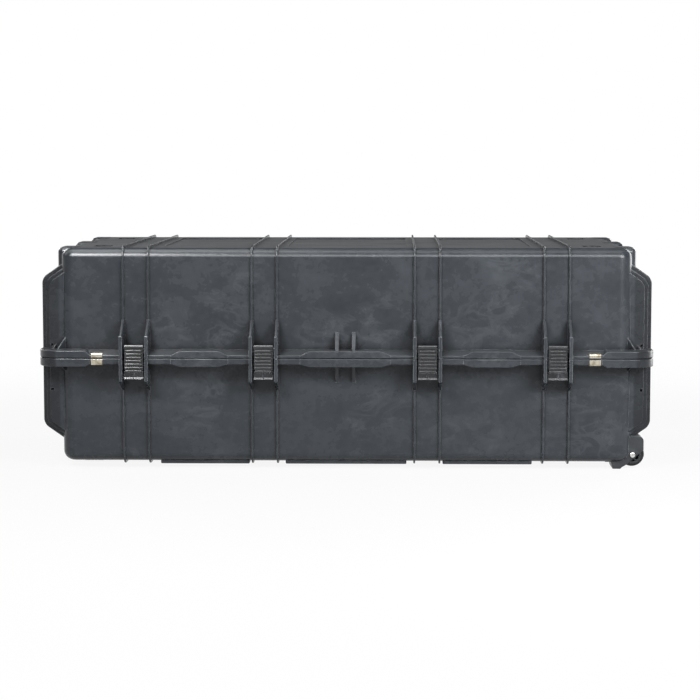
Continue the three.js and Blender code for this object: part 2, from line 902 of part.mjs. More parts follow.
function buildLever() {
  const plateOuter = leverPlateInner + leverPlateThickness;
  const plate = alongX([
    [leverPlateInner, leverBottom],
    [plateOuter, leverBottom],
    [plateOuter, leverTop],
    [leverPlateInner, leverTop],
  ], -leverFieldHalf, leverFieldHalf);
  const bar = alongX([
    [leverBarInner, leverBarBottom],
    [plateOuter, leverBarBottom],
    [plateOuter + ridgeArch, leverBarBottom + ridgeArch],
    [plateOuter + ridgeArch, leverBarTop - ridgeProud],
    [plateOuter - ridgeArch, leverBarTop],
    [leverBarInner, leverBarTop - ridgeProud],
  ], -leverBarHalf, leverBarHalf);
  const tab = alongX([
    [leverPlateInner, leverBottom + ridgeHeight],
    [plateOuter, leverBottom + ridgeHeight],
    [leverPlateInner + leverTabFlare + leverTabThickness, leverTabBottom],
    [leverPlateInner + leverTabFlare, leverTabBottom],
  ], -leverBarHalf, leverBarHalf);
  const web = alongX([
    [plateOuter - leverPlateThickness / 2, leverBottom + ridgeHeight],
    [plateOuter + ridgeProud, leverBottom + ridgeHeight],
    [leverPlateInner + leverTabFlare + leverTabThickness, leverTabBottom],
    [leverPlateInner + leverTabFlare, leverTabBottom],
  ], -leverTabWebHalf, leverTabWebHalf);
  const cheek = [
    [cheekInner, leverTop - ridgeHeight],
    [latchPinPlace.out, leverTop],
    [leverPlateInner + leverPlateThickness / 2, leverTop],
    [leverPlateInner + leverPlateThickness / 2, cheekBottom - ridgeHeight],
    [cheekNeck, cheekBottom],
    [cheekNeck, hookPinPlace.up + hookBarrelRadius],
    [cheekInner, latchPinPlace.up - hookBarrelRadius],
  ];
  const cheeks = [-1, 1].map((side) => {
    const faces = [side * leverFieldHalf, side * (leverFieldHalf + cheekThickness)];
    return alongX(cheek, Math.min(...faces), Math.max(...faces));
  });
  const bores = [
    latchRod(latchPinRadius + clearance, leverBarHalf + overrun, latchPinPlace),
    latchRod(hookPinRadius + clearance, leverBarHalf + overrun, hookPinPlace),
  ];
  return join([plate, bar, tab, web, ...cheeks, ...leverRidges()]).subtract(join(bores));
}

function buildHook() {
  const noseOut = strikeReach + runningGap;
  const arm = alongX([
    [hookPinPlace.out - hookBarrelRadius, hookPinPlace.up],
    [hookPinPlace.out + hookBarrelRadius * Math.SQRT1_2, hookPinPlace.up],
    [hookBackOut, hookBackUp],
    [hookHeel, hookNoseBottom],
    [noseOut, hookNoseBottom],
    [noseOut, hookNoseTop],
    [hookThroatOut, hookThroatUp],
  ], -hookHalf, hookHalf);
  const bore = latchRod(hookPinRadius + clearance, hookHalf + overrun, hookPinPlace);
  return arm.add(latchRod(hookBarrelRadius, hookHalf, hookPinPlace)).subtract(bore);
}

function buildPadlockPlate(shell, seat) {
  const inner = plateSeatReach + clearance;
  const outer = lipReach + clearance + plateThickness;
  const outline = [
    [lipReach + clearance, clearance],
    [outer, clearance],
    [outer, seat + clearance + plateThickness],
    [inner, seat + clearance + plateThickness],
    [inner, seat + clearance],
    [lipReach + clearance, seat + clearance],
  ].map(([out, rise]) => [out, shell.up * rise]);
  const reach = baseBlockHeight + overrun;
  const hole = rodAlongZ(padlockHoleRadius, -reach, reach, 0, padlockHoleOut);
  return alongX(outline, -plateWidth / 2, plateWidth / 2).subtract(hole);
}

// Handle pieces, drawn at the rod: X out of the end, Z up
function buildHandle() {
  const halfArm = handleArmWidth / 2;
  const arm = [
    ...arc([0, 0], handleArmHalf, 0, Math.PI, edgeSteps * 2),
    [-handleArmHalf, -handleArmLength],
    [handleArmHalf, -handleArmLength],
  ];
  const arms = [-1, 1].map((side) => alongY(
    arm,
    side * handleArmPlace - halfArm,
    side * handleArmPlace + halfArm,
  ));
  const reach = handleArmPlace + halfArm;
  const core = rodAlongY(handleArmHalf, -reach, reach, 0, -handleArmLength, gripSides);
  const grip = rodAlongY(handleGripRadius, -handleGripHalf, handleGripHalf, 0, -handleArmLength, gripSides);
  const bore = rodAlongY(handleRodRadius + clearance, -reach - overrun, reach + overrun, 0, 0);
  return join([...arms, core, grip]).subtract(bore);
}

function buildHandleRod() {
  const reach = handlePocketHalf + handleRodSeat - clearance;
  return rodAlongY(handleRodRadius, -reach, reach, 0, 0);
}

// Wheel pieces, drawn at the axle along Y
function revolve(points, sides) {
  const profile = points.map(([radius, across]) => new THREE.Vector2(radius, across));
  return solid(new THREE.LatheGeometry([...profile, profile[0]], sides));
}

function buildTyre() {
  const half = wheelWidth / 2;
  const inner = wheelRadius - tyreThickness;
  return revolve([
    [inner, -half],
    [wheelRadius - tyreCrown, -half],
    [wheelRadius, tyreCrown - half],
    [wheelRadius, half - tyreCrown],
    [wheelRadius - tyreCrown, half],
    [inner, half],
  ], wheelSides);
}

function buildHub() {
  const half = wheelWidth / 2;
  const rim = wheelRadius - tyreThickness - clearance;
  const bore = bushingRadius + clearance;
  return revolve([
    [bore, -half],
    [hubBossRadius, -half],
    [hubBossRadius, -hubWeb / 2],
    [rim - hubRim, -hubWeb / 2],
    [rim - hubRim, -half],
    [rim, -half],
    [rim, half],
    [rim - hubRim, half],
    [rim - hubRim, hubWeb / 2],
    [hubBossRadius, hubWeb / 2],
    [hubBossRadius, half],
    [bore, half],
  ], wheelSides);
}

function buildBushing() {
  const half = wheelWidth / 2 + housingSideGap / 2;
  const bore = axleRadius + clearance;
  return revolve([[bore, -half], [bushingRadius, -half], [bushingRadius, half], [bore, half]], pinSides);
}

function buildHousing() {
  const outline = [
    [housingStart, groundGap - clearance],
    [housingStart + footInset, groundGap - clearance],
    [housingStart + footInset + footChamfer, 0],
    [footEnd - footChamfer, 0],
    [footEnd, footChamfer],
    [housingToe, housingToeHeight],
    [housingEnd, housingNotch],
    [housingEnd, housingTop - housingCorner],
    [housingEnd - housingCorner, housingTop],
    [housingStart, housingTop],
  ].map(([x, z]) => [x - wheelPlaceX, z - wheelHeight]);
  const inside = wheelWidth / 2 + housingSideGap;
  const wheelSpace = wheelRadius + housingWheelGap;
  const nutSeat = housingHalf - nutHeight - clearance;
  return alongY(outline, -housingHalf, housingHalf).subtract(join([
    rodAlongY(wheelSpace, -inside, inside, 0, 0, wheelSides),
    block([0, housingEnd], [-inside, inside], [-wheelHeight - overrun, wheelSpace]),
    rodAlongY(axleRadius + clearance, -housingHalf - overrun, housingHalf + overrun, 0, 0),
    rodAlongY(nutRadius + clearance, nutSeat, housingHalf + overrun, 0, 0),
  ]));
}

function buildAxleBolt() {
  const head = rodAlongY(axleHeadRadius, -axleHeadHeight, 0, 0, 0).translate([0, -housingHalf - clearance, 0]);
  const stem = rodAlongY(axleRadius, -housingHalf - axleHeadHeight / 2, housingHalf - clearance, 0, 0);
  return head.add(stem);
}

function buildAxleNut() {
  const from = housingHalf - nutHeight;
  const to = housingHalf - clearance;
  const bore = rodAlongY(axleRadius + clearance, from - overrun, to + overrun, 0, 0);
  return rodAlongY(nutRadius, from, to, 0, 0, nutSides).subtract(bore);
}

function buildFoot() {
  const tread = footHalf - footTopInset;
  const section = (half, z) => ({ halfX: half, halfY: half, radius: footTopInset + clearance, z });
  return loft(
    [section(tread, 0), section(footHalf, footTopInset), section(footHalf, groundGap - clearance)],
    smallCornerSteps,
  );
}

// Valve pieces, drawn in place on the left end
function buildValveBody() {
  const flangeInner = valveWallOuter - clearance * 2 - valveSealThickness;
  const tail = valveWallInner + valveNutThickness + clearance * 2 + valveStemTail;
  return join([
    rodTowardsEnd(valveStemRadius, tail, flangeInner - valveFlangeThickness / 2),
    rodTowardsEnd(valveFlangeRadius, flangeInner, flangeInner - valveFlangeThickness),
  ]);
}

function buildValveRing(radius, bore, from, to, sides = pinSides) {
  const through = rodTowardsEnd(bore, Math.max(from, to) + overrun, Math.min(from, to) - overrun);
  return rodTowardsEnd(radius, from, to, sides).subtract(through);
}

// Assembly
function mesh(name, body, finish) {
  const facets = body.getMesh();
  const skin = new THREE.BufferGeometry();
  skin.setAttribute("position", new THREE.Float32BufferAttribute(facets.vertProperties, 3));
  skin.setIndex(new THREE.Uint32BufferAttribute(facets.triVerts, 1));
  skin.computeVertexNormals();
  const piece = new THREE.Mesh(skin, new THREE.MeshStandardMaterial({ ...finish, flatShading: true }));
  piece.name = name;
  return piece;
}

function groupAt(x, y, z, turn, pieces) {
  const group = new THREE.Group();
  group.position.set(x, y, z);
  group.rotation.z = turn;
  group.add(...pieces);
  return group;
}

function latchGroup(place, number) {
  const pinHalf = earOuter - clearance;
  const hookPinHalf = leverFieldHalf + cheekThickness;
  return groupAt(place, -halfDepth, partingHeight, Math.PI, [
    mesh(`latch_lever_${number}`, buildLever(), finishes.fitting),
    mesh(`latch_hook_${number}`, buildHook(), finishes.fitting),
    mesh(`latch_pin_${number}`, latchRod(latchPinRadius, pinHalf, latchPinPlace), finishes.steel),
    mesh(`hook_pin_${number}`, latchRod(hookPinRadius, hookPinHalf, hookPinPlace), finishes.steel),
  ]);
}

function padlockGroup(side, name) {
  return groupAt(side * plateCentre, -halfDepth, partingHeight, Math.PI, [
    mesh(`padlock_plate_lid_${name}`, buildPadlockPlate(lid, plateSeatLid), finishes.steel),
    mesh(`padlock_plate_base_${name}`, buildPadlockPlate(base, baseLipEdge), finishes.steel),
  ]);
}

function handleGroup(side, name) {
  const x = side * (halfLength + handlePivotOut);
  return groupAt(x, 0, partingHeight - handlePivotDrop, 0, [
    mesh(`handle_${name}`, buildHandle(), finishes.fitting),
    mesh(`handle_rod_${name}`, buildHandleRod(), finishes.steel),
  ]);
}

function wheelGroup(side, name) {
  const turn = side < 0 ? 0 : Math.PI;
  const housing = side < 0 ? buildHousing() : buildHousing().mirror([1, 0, 0]);
  return groupAt(wheelPlaceX, side * wheelPlaceY, wheelHeight, turn, [
    mesh(`wheel_housing_${name}`, housing, finishes.fitting),
    mesh(`wheel_tyre_${name}`, buildTyre(), finishes.rubber),
    mesh(`wheel_hub_${name}`, buildHub(), finishes.fitting),
    mesh(`wheel_bushing_${name}`, buildBushing(), finishes.steel),
    mesh(`wheel_axle_bolt_${name}`, buildAxleBolt(), finishes.steel),
    mesh(`wheel_axle_nut_${name}`, buildAxleNut(), finishes.steel),
  ]);
}

const hardCase = new THREE.Group();
hardCase.add(
  mesh("base_shell", buildBaseShell(), finishes.shell),
  mesh("lid_shell", buildLidShell(), finishes.shell),
  mesh("lid_seal", buildSeal(), finishes.rubber),
);
pairPlaces.forEach((place, index) => {
  const pin = hingeRod(hingePinRadius, clearance - earOuter, earOuter - clearance, place);
  hardCase.add(mesh(`hinge_pin_${index + 1}`, pin, finishes.steel));
  hardCase.add(latchGroup(place, index + 1));
});
for (const [side, name] of [[-1, "left"], [1, "right"]]) {
  hardCase.add(padlockGroup(side, name));
  hardCase.add(handleGroup(side, name));
}
for (const [side, name] of [[-1, "front"], [1, "back"]]) {
  hardCase.add(wheelGroup(side, name));
  const foot = mesh(`foot_${name}`, buildFoot(), finishes.rubber);
  foot.position.set(-footPlaceX, side * footPlaceY, 0);
  hardCase.add(foot);
}
const sealOuter = valveWallOuter - clearance;
const capInner = sealOuter - valveSealThickness - clearance - valveFlangeThickness - clearance;
const nutOuter = valveWallInner + clearance;
hardCase.add(
  mesh("valve_body", buildValveBody(), finishes.fitting),
  mesh(
    "valve_seal",
    buildValveRing(valveFlangeRadius, valveSealInner, sealOuter, sealOuter - valveSealThickness),
    finishes.rubber,
  ),
  mesh("valve_cap", rodTowardsEnd(valveCapRadius, capInner, capInner - valveCapThickness), finishes.fitting),
  mesh(
    "valve_nut",
    buildValveRing(valveNutRadius, valveStemRadius + clearance, nutOuter, nutOuter + valveNutThickness, nutSides),
    finishes.fitting,
  ),
);

export default hardCase;
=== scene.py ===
"""Looks of a long wheeled transport case, dressed over its fixed frame.

Lengths are metres in the frame's own axes: X runs along the case towards the wheeled end,
the latches face -Y and Z is up. The shells are drawn from their parting line: "out" is the
distance out of a side wall, and "rise" the distance from the parting line towards the shell's
closed face.
"""

import logging
import math
from dataclasses import dataclass, field
from enum import Enum
from itertools import product
from typing import Callable, Iterable, Sequence

import bmesh
import bpy
from mathutils import Euler, Matrix, Vector


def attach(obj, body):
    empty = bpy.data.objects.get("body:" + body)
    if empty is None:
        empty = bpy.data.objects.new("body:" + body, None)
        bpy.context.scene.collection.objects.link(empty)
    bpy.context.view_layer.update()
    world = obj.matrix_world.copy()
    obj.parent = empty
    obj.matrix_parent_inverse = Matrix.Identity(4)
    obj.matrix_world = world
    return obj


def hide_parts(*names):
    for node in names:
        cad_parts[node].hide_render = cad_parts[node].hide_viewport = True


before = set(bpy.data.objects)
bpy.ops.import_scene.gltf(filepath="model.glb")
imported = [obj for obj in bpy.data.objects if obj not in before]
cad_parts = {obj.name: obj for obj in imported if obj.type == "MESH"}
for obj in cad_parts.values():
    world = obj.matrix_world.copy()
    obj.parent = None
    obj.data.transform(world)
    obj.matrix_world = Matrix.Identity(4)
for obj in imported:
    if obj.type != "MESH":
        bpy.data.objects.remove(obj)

log = logging.getLogger("case")
MM = 0.001

Point = tuple[float, float]
Span = tuple[float, float]
Outline = tuple[Point, ...]
Mesh = bmesh.types.BMesh
EdgeTest = Callable[[bmesh.types.BMEdge], bool]
Tree = bpy.types.NodeTree
Socket = bpy.types.NodeSocket

# How straight an edge along an axis is, how near to each other corners are merged, and the
# angle in degrees up to which neighbouring faces are joined
STRAIGHT = 0.999
WELD = 0.001 * MM
CARVED_WELD = 0.01 * MM
FLAT_ANGLE = 0.4

# Angles in degrees past which only the rims of round shapes are rounded, and shading breaks
ROUND = 60.0
SHADING_BREAK = 40.0

# Both sides of a middle
SIGNS = (-1, 1)


class Axis(Enum):
    """An axis of the frame."""

    X = 0
    Y = 1
    Z = 2


class Half(Enum):
    """One of the two shells, by the way that it grows from the parting line."""

    LID = 1
    BASE = -1


class Side(Enum):
    """A long side of the case, by the sign of its outward Y."""

    FRONT = -1
    BACK = 1


class End(Enum):
    """An end of the case, by the sign of its outward X."""

    LEFT = -1
    RIGHT = 1


# Shape tools


def merge(parts: Iterable[Mesh]) -> Mesh:
    """Puts several meshes into one without joining their surfaces.

    Args:
        parts: Meshes to gather, which are freed.

    Returns:
        One mesh that holds them all.
    """
    whole = bmesh.new()
    for part in parts:
        sheet = bpy.data.meshes.new("part")
        part.to_mesh(sheet)
        part.free()
        whole.from_mesh(sheet)
        bpy.data.meshes.remove(sheet)
    return whole


def outward(bm: Mesh) -> Mesh:
    """Turns every face of a closed mesh outwards and returns the mesh."""
    bmesh.ops.recalc_face_normals(bm, faces=bm.faces[:])
    return bm


def around(middle: float, half: float) -> Span:
    """Gives the span that reaches equally far to both sides of a middle."""
    return middle - half, middle + half


def upright(edge: bmesh.types.BMEdge) -> bool:
    """Tells whether an edge stands upright.

    Args:
        edge: The edge.

    Returns:
        Whether it lies along Z.
    """
    step = edge.verts[1].co - edge.verts[0].co
    return abs(step.z) > STRAIGHT * step.length


def at_height(height: float) -> EdgeTest:
    """Makes a test for edges that lie level at a height."""
    return lambda edge: all(abs(vert.co.z - height) < MM / 10 for vert in edge.verts)


def turned(bm: Mesh, angle: float, axis: Axis, place: Vector) -> Mesh:
    """Turns a mesh about an axis through the origin, then moves it.

    Args:
        bm: The mesh to turn.
        angle: The turn in radians.
        axis: The axis to turn about.
        place: Where the origin goes.

    Returns:
        The same mesh.
    """
    matrix = Matrix.Rotation(angle, 3, axis.name)
    bmesh.ops.rotate(bm, cent=Vector((0, 0, 0)), matrix=matrix, verts=bm.verts[:])
    bmesh.ops.translate(bm, vec=place, verts=bm.verts[:])
    return bm


def block(x: Span, y: Span, z: Span) -> Mesh:
    """Makes a square-edged block.

    Args:
        x: Its reach along X, in either order.
        y: Its reach along Y.
        z: Its reach along Z.

    Returns:
        The block's mesh.
    """
    bm = bmesh.new()
    bmesh.ops.create_cube(bm, size=1.0)
    spans = (x, y, z)
    bmesh.ops.scale(bm, vec=Vector([abs(b - a) for a, b in spans]), verts=bm.verts[:])
    bmesh.ops.translate(bm, vec=Vector([(a + b) / 2 for a, b in spans]), verts=bm.verts[:])
    return bm


def prism(outline: Sequence[Point], axis: Axis, span: Span) -> Mesh:
    """Draws a flat outline out along an axis.

    Args:
        outline: Corners on the two other axes, in X, Y, Z order.
        axis: The axis to draw along.
        span: Where the prism starts and ends on that axis.

    Returns:
        A closed mesh with its faces outwards.
    """
    bm = bmesh.new()
    low, high = min(span), max(span)
    places = []
    for first, second in outline:
        place = [first, second]
        place.insert(axis.value, low)
        places.append(Vector(place))
    face = bm.faces.new([bm.verts.new(place) for place in places])
    grown = bmesh.ops.extrude_face_region(bm, geom=[face])
    step = Vector((0, 0, 0))
    step[axis.value] = high - low
    moved = [item for item in grown["geom"] if isinstance(item, bmesh.types.BMVert)]
    bmesh.ops.translate(bm, vec=step, verts=moved)
    return outward(bm)


def rod(
    radius: float, axis: Axis, span: Span, centre: Point, sides: int = 32,
    edge: float = 0.0, steps: int = 3,
) -> Mesh:
    """Makes a round bar.

    Args:
        radius: Its radius.
        axis: The axis that it lies along.
        span: Its two ends on that axis.
        centre: Its place on the two other axes, in X, Y, Z order.
        sides: Facets around it.
        edge: Rounding of its ends' rims, or 0 for sharp ones.
        steps: Steps across that rounding.

    Returns:
        The bar's mesh.
    """
    bm = bmesh.new()
    length = abs(span[1] - span[0])
    bmesh.ops.create_cone(
        bm, cap_ends=True, segments=sides, radius1=radius, radius2=radius, depth=length
    )
    angle, about = {
        Axis.X: (math.pi / 2, Axis.Y), Axis.Y: (math.pi / 2, Axis.X), Axis.Z: (0.0, Axis.Z),
    }[axis]
    place = list(centre)
    place.insert(axis.value, (span[0] + span[1]) / 2)
    turned(bm, angle, about, Vector(place))
    return soften(bm, edge, steps, ROUND) if edge else bm


def revolve(profile: Sequence[Point], centre: Vector, sides: int = 48) -> Mesh:
    """Spins a closed profile about an axis along Y.

    Args:
        profile: Corners as radius and place along the axis.
        centre: A point on the axis.
        sides: Steps around the turn.

    Returns:
        A closed ring with its faces outwards.
    """
    bm = bmesh.new()
    verts = [bm.verts.new(centre + Vector((radius, along, 0))) for radius, along in profile]
    edges = [bm.edges.new((verts[i - 1], verts[i])) for i in range(len(verts))]
    bmesh.ops.spin(
        bm, geom=verts + edges, cent=centre, axis=Vector((0, 1, 0)),
        angle=math.tau, steps=sides, use_merge=True,
    )
    bmesh.ops.remove_doubles(bm, verts=bm.verts[:], dist=WELD)
    return outward(bm)


def soften(
    bm: Mesh, radius: float, segments: int = 3, sharper_than: float = 30.0,
    only: EdgeTest = lambda edge: True,
) -> Mesh:
    """Rounds the sharp edges of a mesh.

    Args:
        bm: The mesh to round.
        radius: How far the rounding reaches from each edge.
        segments: Steps across the rounding.
        sharper_than: Smallest angle in degrees that is rounded.
        only: A further test that an edge has to pass.

    Returns:
        The same mesh.
    """
    limit = math.radians(sharper_than)
    edges = [
        edge for edge in bm.edges
        if len(edge.link_faces) == 2 and edge.calc_face_angle() > limit and only(edge)
    ]
    bmesh.ops.bevel(
        bm, geom=edges, offset=radius, offset_type="OFFSET", segments=segments, profile=0.5,
        affect="EDGES", clamp_overlap=True, material=-1,
    )
    return bm


def carve(bm: Mesh, cutters: Sequence[Mesh]) -> Mesh:
    """Cuts closed meshes out of another closed mesh.

    Args:
        bm: The mesh to cut, which is freed.
        cutters: Meshes to take away, which are freed.

    Returns:
        A new mesh with flat faces joined up again.
    """
    objects = []
    for name, part in (("stock", bm), ("cutter", merge(cutters))):
        sheet = bpy.data.meshes.new(name)
        part.to_mesh(sheet)
        part.free()
        piece = bpy.data.objects.new(name, sheet)
        bpy.context.scene.collection.objects.link(piece)
        objects.append(piece)
    stock, cutter = objects
    cut = stock.modifiers.new("cut", "BOOLEAN")
    cut.operation = "DIFFERENCE"
    cut.solver = "EXACT"
    cut.use_self = True
    cut.object = cutter
    result = bmesh.new()
    result.from_object(stock, bpy.context.evaluated_depsgraph_get())
    for piece in objects:
        sheet = piece.data
        bpy.data.objects.remove(piece)
        bpy.data.meshes.remove(sheet)
    bmesh.ops.remove_doubles(result, verts=result.verts[:], dist=CARVED_WELD)
    bmesh.ops.dissolve_limit(
        result, angle_limit=math.radians(FLAT_ANGLE),
        verts=result.verts[:], edges=result.edges[:],
    )
    return result


def band(sections: Sequence[tuple[Sequence[Point], float]]) -> Mesh:
    """Skins a closed ring over outlines that each lie at a level.

    Args:
        sections: Outlines with their levels, in order around the ring's own section.

    Returns:
        A closed ring with its faces outwards.
    """
    bm = bmesh.new()
    outline, level = sections[0]
    verts = [bm.verts.new((x, y, level)) for x, y in outline]
    edges = [bm.edges.new((verts[i - 1], verts[i])) for i in range(len(verts))]
    for outline, level in (*sections[1:], sections[0]):
        grown = set(bmesh.ops.extrude_edge_only(bm, edges=edges)["geom"])
        verts = [
            next(edge.other_vert(vert) for edge in vert.link_edges
                 if edge.other_vert(vert) in grown)
            for vert in verts
        ]
        for vert, (x, y) in zip(verts, outline):
            vert.co = (x, y, level)
        edges = [bm.edges.get((verts[i - 1], verts[i])) for i in range(len(verts))]
    bmesh.ops.remove_doubles(bm, verts=bm.verts[:], dist=WELD)
    return outward(bm)


def arc(centre: Point, radius: float, start: float, end: float, steps: int = 8) -> list[Point]:
    """Gives points along an arc.

    Args:
        centre: The arc's centre.
        radius: Its radius.
        start: First angle in degrees.
        end: Last angle in degrees.
        steps: Spaces between the points.

    Returns:
        The points in order.
    """
    angles = [math.radians(start + (end - start) * step / steps) for step in range(steps + 1)]
    return [(centre[0] + radius * math.cos(a), centre[1] + radius * math.sin(a)) for a in angles]


def rounded_rectangle(half_x: float, half_y: float, radius: float) -> list[Point]:
    """Gives the outline of a rounded rectangle about the origin.

    Args:
        half_x: Half of its length.
        half_y: Half of its width.
        radius: Corner radius.

    Returns:
        The outline's points, anticlockwise.
    """
    corners = ((1, 1), (-1, 1), (-1, -1), (1, -1))
    outline: list[Point] = []
    for quarter, (sign_x, sign_y) in enumerate(corners):
        centre = (sign_x * (half_x - radius), sign_y * (half_y - radius))
        outline += arc(centre, radius, 90 * quarter, 90 * quarter + 90)
    return outline


# Shared sizes


@dataclass(frozen=True)
class Layout:
    """Sizes and places that the sub-assemblies share."""

    length: float = 1.072
    depth: float = 0.556
    base_height: float = 0.199
    lid_height: float = 0.203
    ground_gap: float = 0.0135
    wall: float = 0.005
    draft: float = 0.005
    corner: float = 0.030
    edge: float = 0.018
    gap: float = 0.0003
    lip_reach: float = 0.037
    lip_corner: float = 0.045
    pair_places: tuple[float, ...] = (-0.3935, -0.1523, 0.1523, 0.3935)
    rib_offset: float = 0.0237
    ear_thickness: float = 0.006
    pivot_out: float = 0.017
    pivot_drop: float = 0.063
    plate_centre: float = 0.462
    plate_width: float = 0.021
    padlock_hole: float = 0.00425
    padlock_out: float = 0.026
    strike_reach: float = 0.014
    panel_ranges: tuple[Span, ...] = ((-0.350, -0.182), (-0.114, 0.114), (0.182, 0.350))

    @property
    def half_length(self) -> float:
        """Half of the body's length."""
        return self.length / 2

    @property
    def half_depth(self) -> float:
        """Half of the body's depth."""
        return self.depth / 2

    @property
    def parting(self) -> float:
        """Height of the parting line over the ground."""
        return self.ground_gap + self.base_height

    @property
    def top(self) -> float:
        """Height of the lid's flat top."""
        return self.parting + self.lid_height

    @property
    def ear_places(self) -> list[float]:
        """Middles of the ribs and ears, two around each latch."""
        offsets = (-self.rib_offset, self.rib_offset)
        return [place + offset for place in self.pair_places for offset in offsets]

    @property
    def bay_half(self) -> float:
        """Half of the clear width between two ears."""
        return self.rib_offset - self.ear_thickness / 2

    @property
    def ears_half(self) -> float:
        """Half of the width over both ears of a pair."""
        return self.rib_offset + self.ear_thickness / 2

    def ring(self, out: float) -> list[Point]:
        """Outline of the lip's shape at a distance out of the wall."""
        radius = self.corner + (self.lip_corner - self.corner) * out / self.lip_reach
        return rounded_rectangle(self.half_length + out, self.half_depth + out, radius)


LAYOUT = Layout()


# Surfaces


class Graph:
    """A node tree with short calls to add nodes and join them."""

    def __init__(self, tree: Tree) -> None:
        """Starts on an empty node tree."""
        self.tree = tree
        self.tree.nodes.clear()

    def add(self, kind: str, inputs: dict | None = None, **settings: object) -> bpy.types.Node:
        """Adds a node.

        Args:
            kind: The node's type without its ShaderNode prefix.
            inputs: Values or output sockets for the node's inputs, by name or number.
            **settings: The node's own settings.

        Returns:
            The new node.
        """
        node = self.tree.nodes.new(kind if kind.startswith("Node") else "ShaderNode" + kind)
        for name, value in settings.items():
            setattr(node, name, value)
        for key, value in (inputs or {}).items():
            if isinstance(value, Socket):
                self.tree.links.new(value, node.inputs[key])
            else:
                node.inputs[key].default_value = value
        return node

    def maths(self, operation: str, *values: object) -> Socket:
        """Adds a Math node over sockets or numbers and gives its result."""
        return self.add("Math", dict(enumerate(values)), operation=operation).outputs[0]

    def ramp(self, value: Socket, low: float, high: float) -> Socket:
        """Gives 0 below a low value and 1 above a high one, smooth between them."""
        inputs = {"Value": value, "From Min": low, "From Max": high}
        return self.add("MapRange", inputs, interpolation_type="SMOOTHSTEP").outputs[0]

    def blend(self, factor: object, first: object, second: object) -> Socket:
        """Mixes two colours by a factor."""
        return self.add("Mix", {0: factor, 6: first, 7: second}, data_type="RGBA").outputs[2]

    def stretched(self, scale: tuple[float, float, float]) -> Socket:
        """Gives Object coordinates stretched by a scale."""
        place = self.add("TexCoord").outputs["Object"]
        return self.add("Mapping", {"Vector": place, "Scale": scale}).outputs[0]

    def noise(
        self, scale: object, detail: float = 3.0, distortion: float = 0.0,
        stretch: tuple[float, float, float] = (1.0, 1.0, 1.0),
    ) -> Socket:
        """Adds a noise pattern.

        Args:
            scale: Spots per metre.
            detail: Octaves.
            distortion: How far the pattern is pulled about.
            stretch: Scale along each axis.

        Returns:
            The pattern's value.
        """
        inputs = {
            "Vector": self.stretched(stretch), "Scale": scale,
            "Detail": detail, "Distortion": distortion,
        }
        return self.add("TexNoise", inputs).outputs[0]


def shader_group(
    name: str, inputs: dict[str, object], *outputs: str
) -> tuple[Tree, Graph, bpy.types.Node]:
    """Starts a shader node group.

    Args:
        name: The group's name.
        inputs: Default values of its inputs, a number or a colour each.
        *outputs: Names of its outputs: Color for a colour, anything else for a number.

    Returns:
        The group, its graph and its input node.
    """
    tree = bpy.data.node_groups.new(name, "ShaderNodeTree")
    for label, value in inputs.items():
        kind = "NodeSocketColor" if isinstance(value, tuple) else "NodeSocketFloat"
        tree.interface.new_socket(label, in_out="INPUT", socket_type=kind).default_value = value
    for label in outputs:
        kind = "NodeSocketColor" if label == "Color" else "NodeSocketFloat"
        tree.interface.new_socket(label, in_out="OUTPUT", socket_type=kind)
    graph = Graph(tree)
    return tree, graph, graph.add("NodeGroupInput")


def clouds_group() -> Tree:
    """Makes the cloudy flow marks of moulded plastic, as a colour and a mask."""
    tree, graph, given = shader_group(
        "cloudy_plastic",
        {"Dark": (0.05, 0.05, 0.05, 1.0), "Light": (0.1, 0.1, 0.1, 1.0), "Size": 9.0},
        "Color", "Mask",
    )
    broad = graph.noise(
        given.outputs["Size"], detail=5.0, distortion=0.4, stretch=(1.0, 1.0, 1.5)
    )
    finer_scale = graph.maths("MULTIPLY", given.outputs["Size"], 6.0)
    finer = graph.noise(finer_scale, distortion=0.2)
    both = graph.maths("MULTIPLY_ADD", finer, 0.35, graph.maths("MULTIPLY", broad, 0.65))
    mask = graph.ramp(both, low=0.2, high=0.96)
    colour = graph.blend(mask, given.outputs["Dark"], given.outputs["Light"])
    graph.add("NodeGroupOutput", {"Color": colour, "Mask": mask})
    return tree


def grain_group() -> Tree:
    """Makes the fine leathery grain of a mould as a height, with faint sink waves."""
    tree, graph, given = shader_group("mould_grain", {"Scale": 900.0, "Waves": 0.3}, "Height")
    fine = graph.noise(given.outputs["Scale"], detail=2.0)
    waves = graph.noise(scale=14.0, detail=2.0, distortion=0.6)
    height = graph.maths("MULTIPLY_ADD", waves, given.outputs["Waves"], fine)
    graph.add("NodeGroupOutput", {"Height": height})
    return tree


def edge_wear_and_highlight_group() -> Tree:
    """Makes a mask of edges, where a rounded normal leaves the true one, broken up: wear, and a
    painted highlight where a finish pales its colour with it.
    """
    tree, graph, given = shader_group("rubbed_edges", {"Width": 0.0015, "Breaks": 60.0}, "Mask")
    rounded = graph.add("Bevel", {"Radius": given.outputs["Width"]}, samples=4).outputs[0]
    true = graph.add("NewGeometry").outputs["Normal"]
    dot = graph.add("VectorMath", {0: rounded, 1: true}, operation="DOT_PRODUCT")
    turned = graph.maths("SUBTRACT", 1.0, dot.outputs["Value"])
    bend = graph.ramp(turned, low=0.02, high=0.25)
    breaks = graph.noise(given.outputs["Breaks"], detail=4.0, distortion=0.5)
    broken = graph.ramp(breaks, low=0.15, high=0.58)
    graph.add("NodeGroupOutput", {"Mask": graph.maths("MULTIPLY", bend, broken)})
    return tree


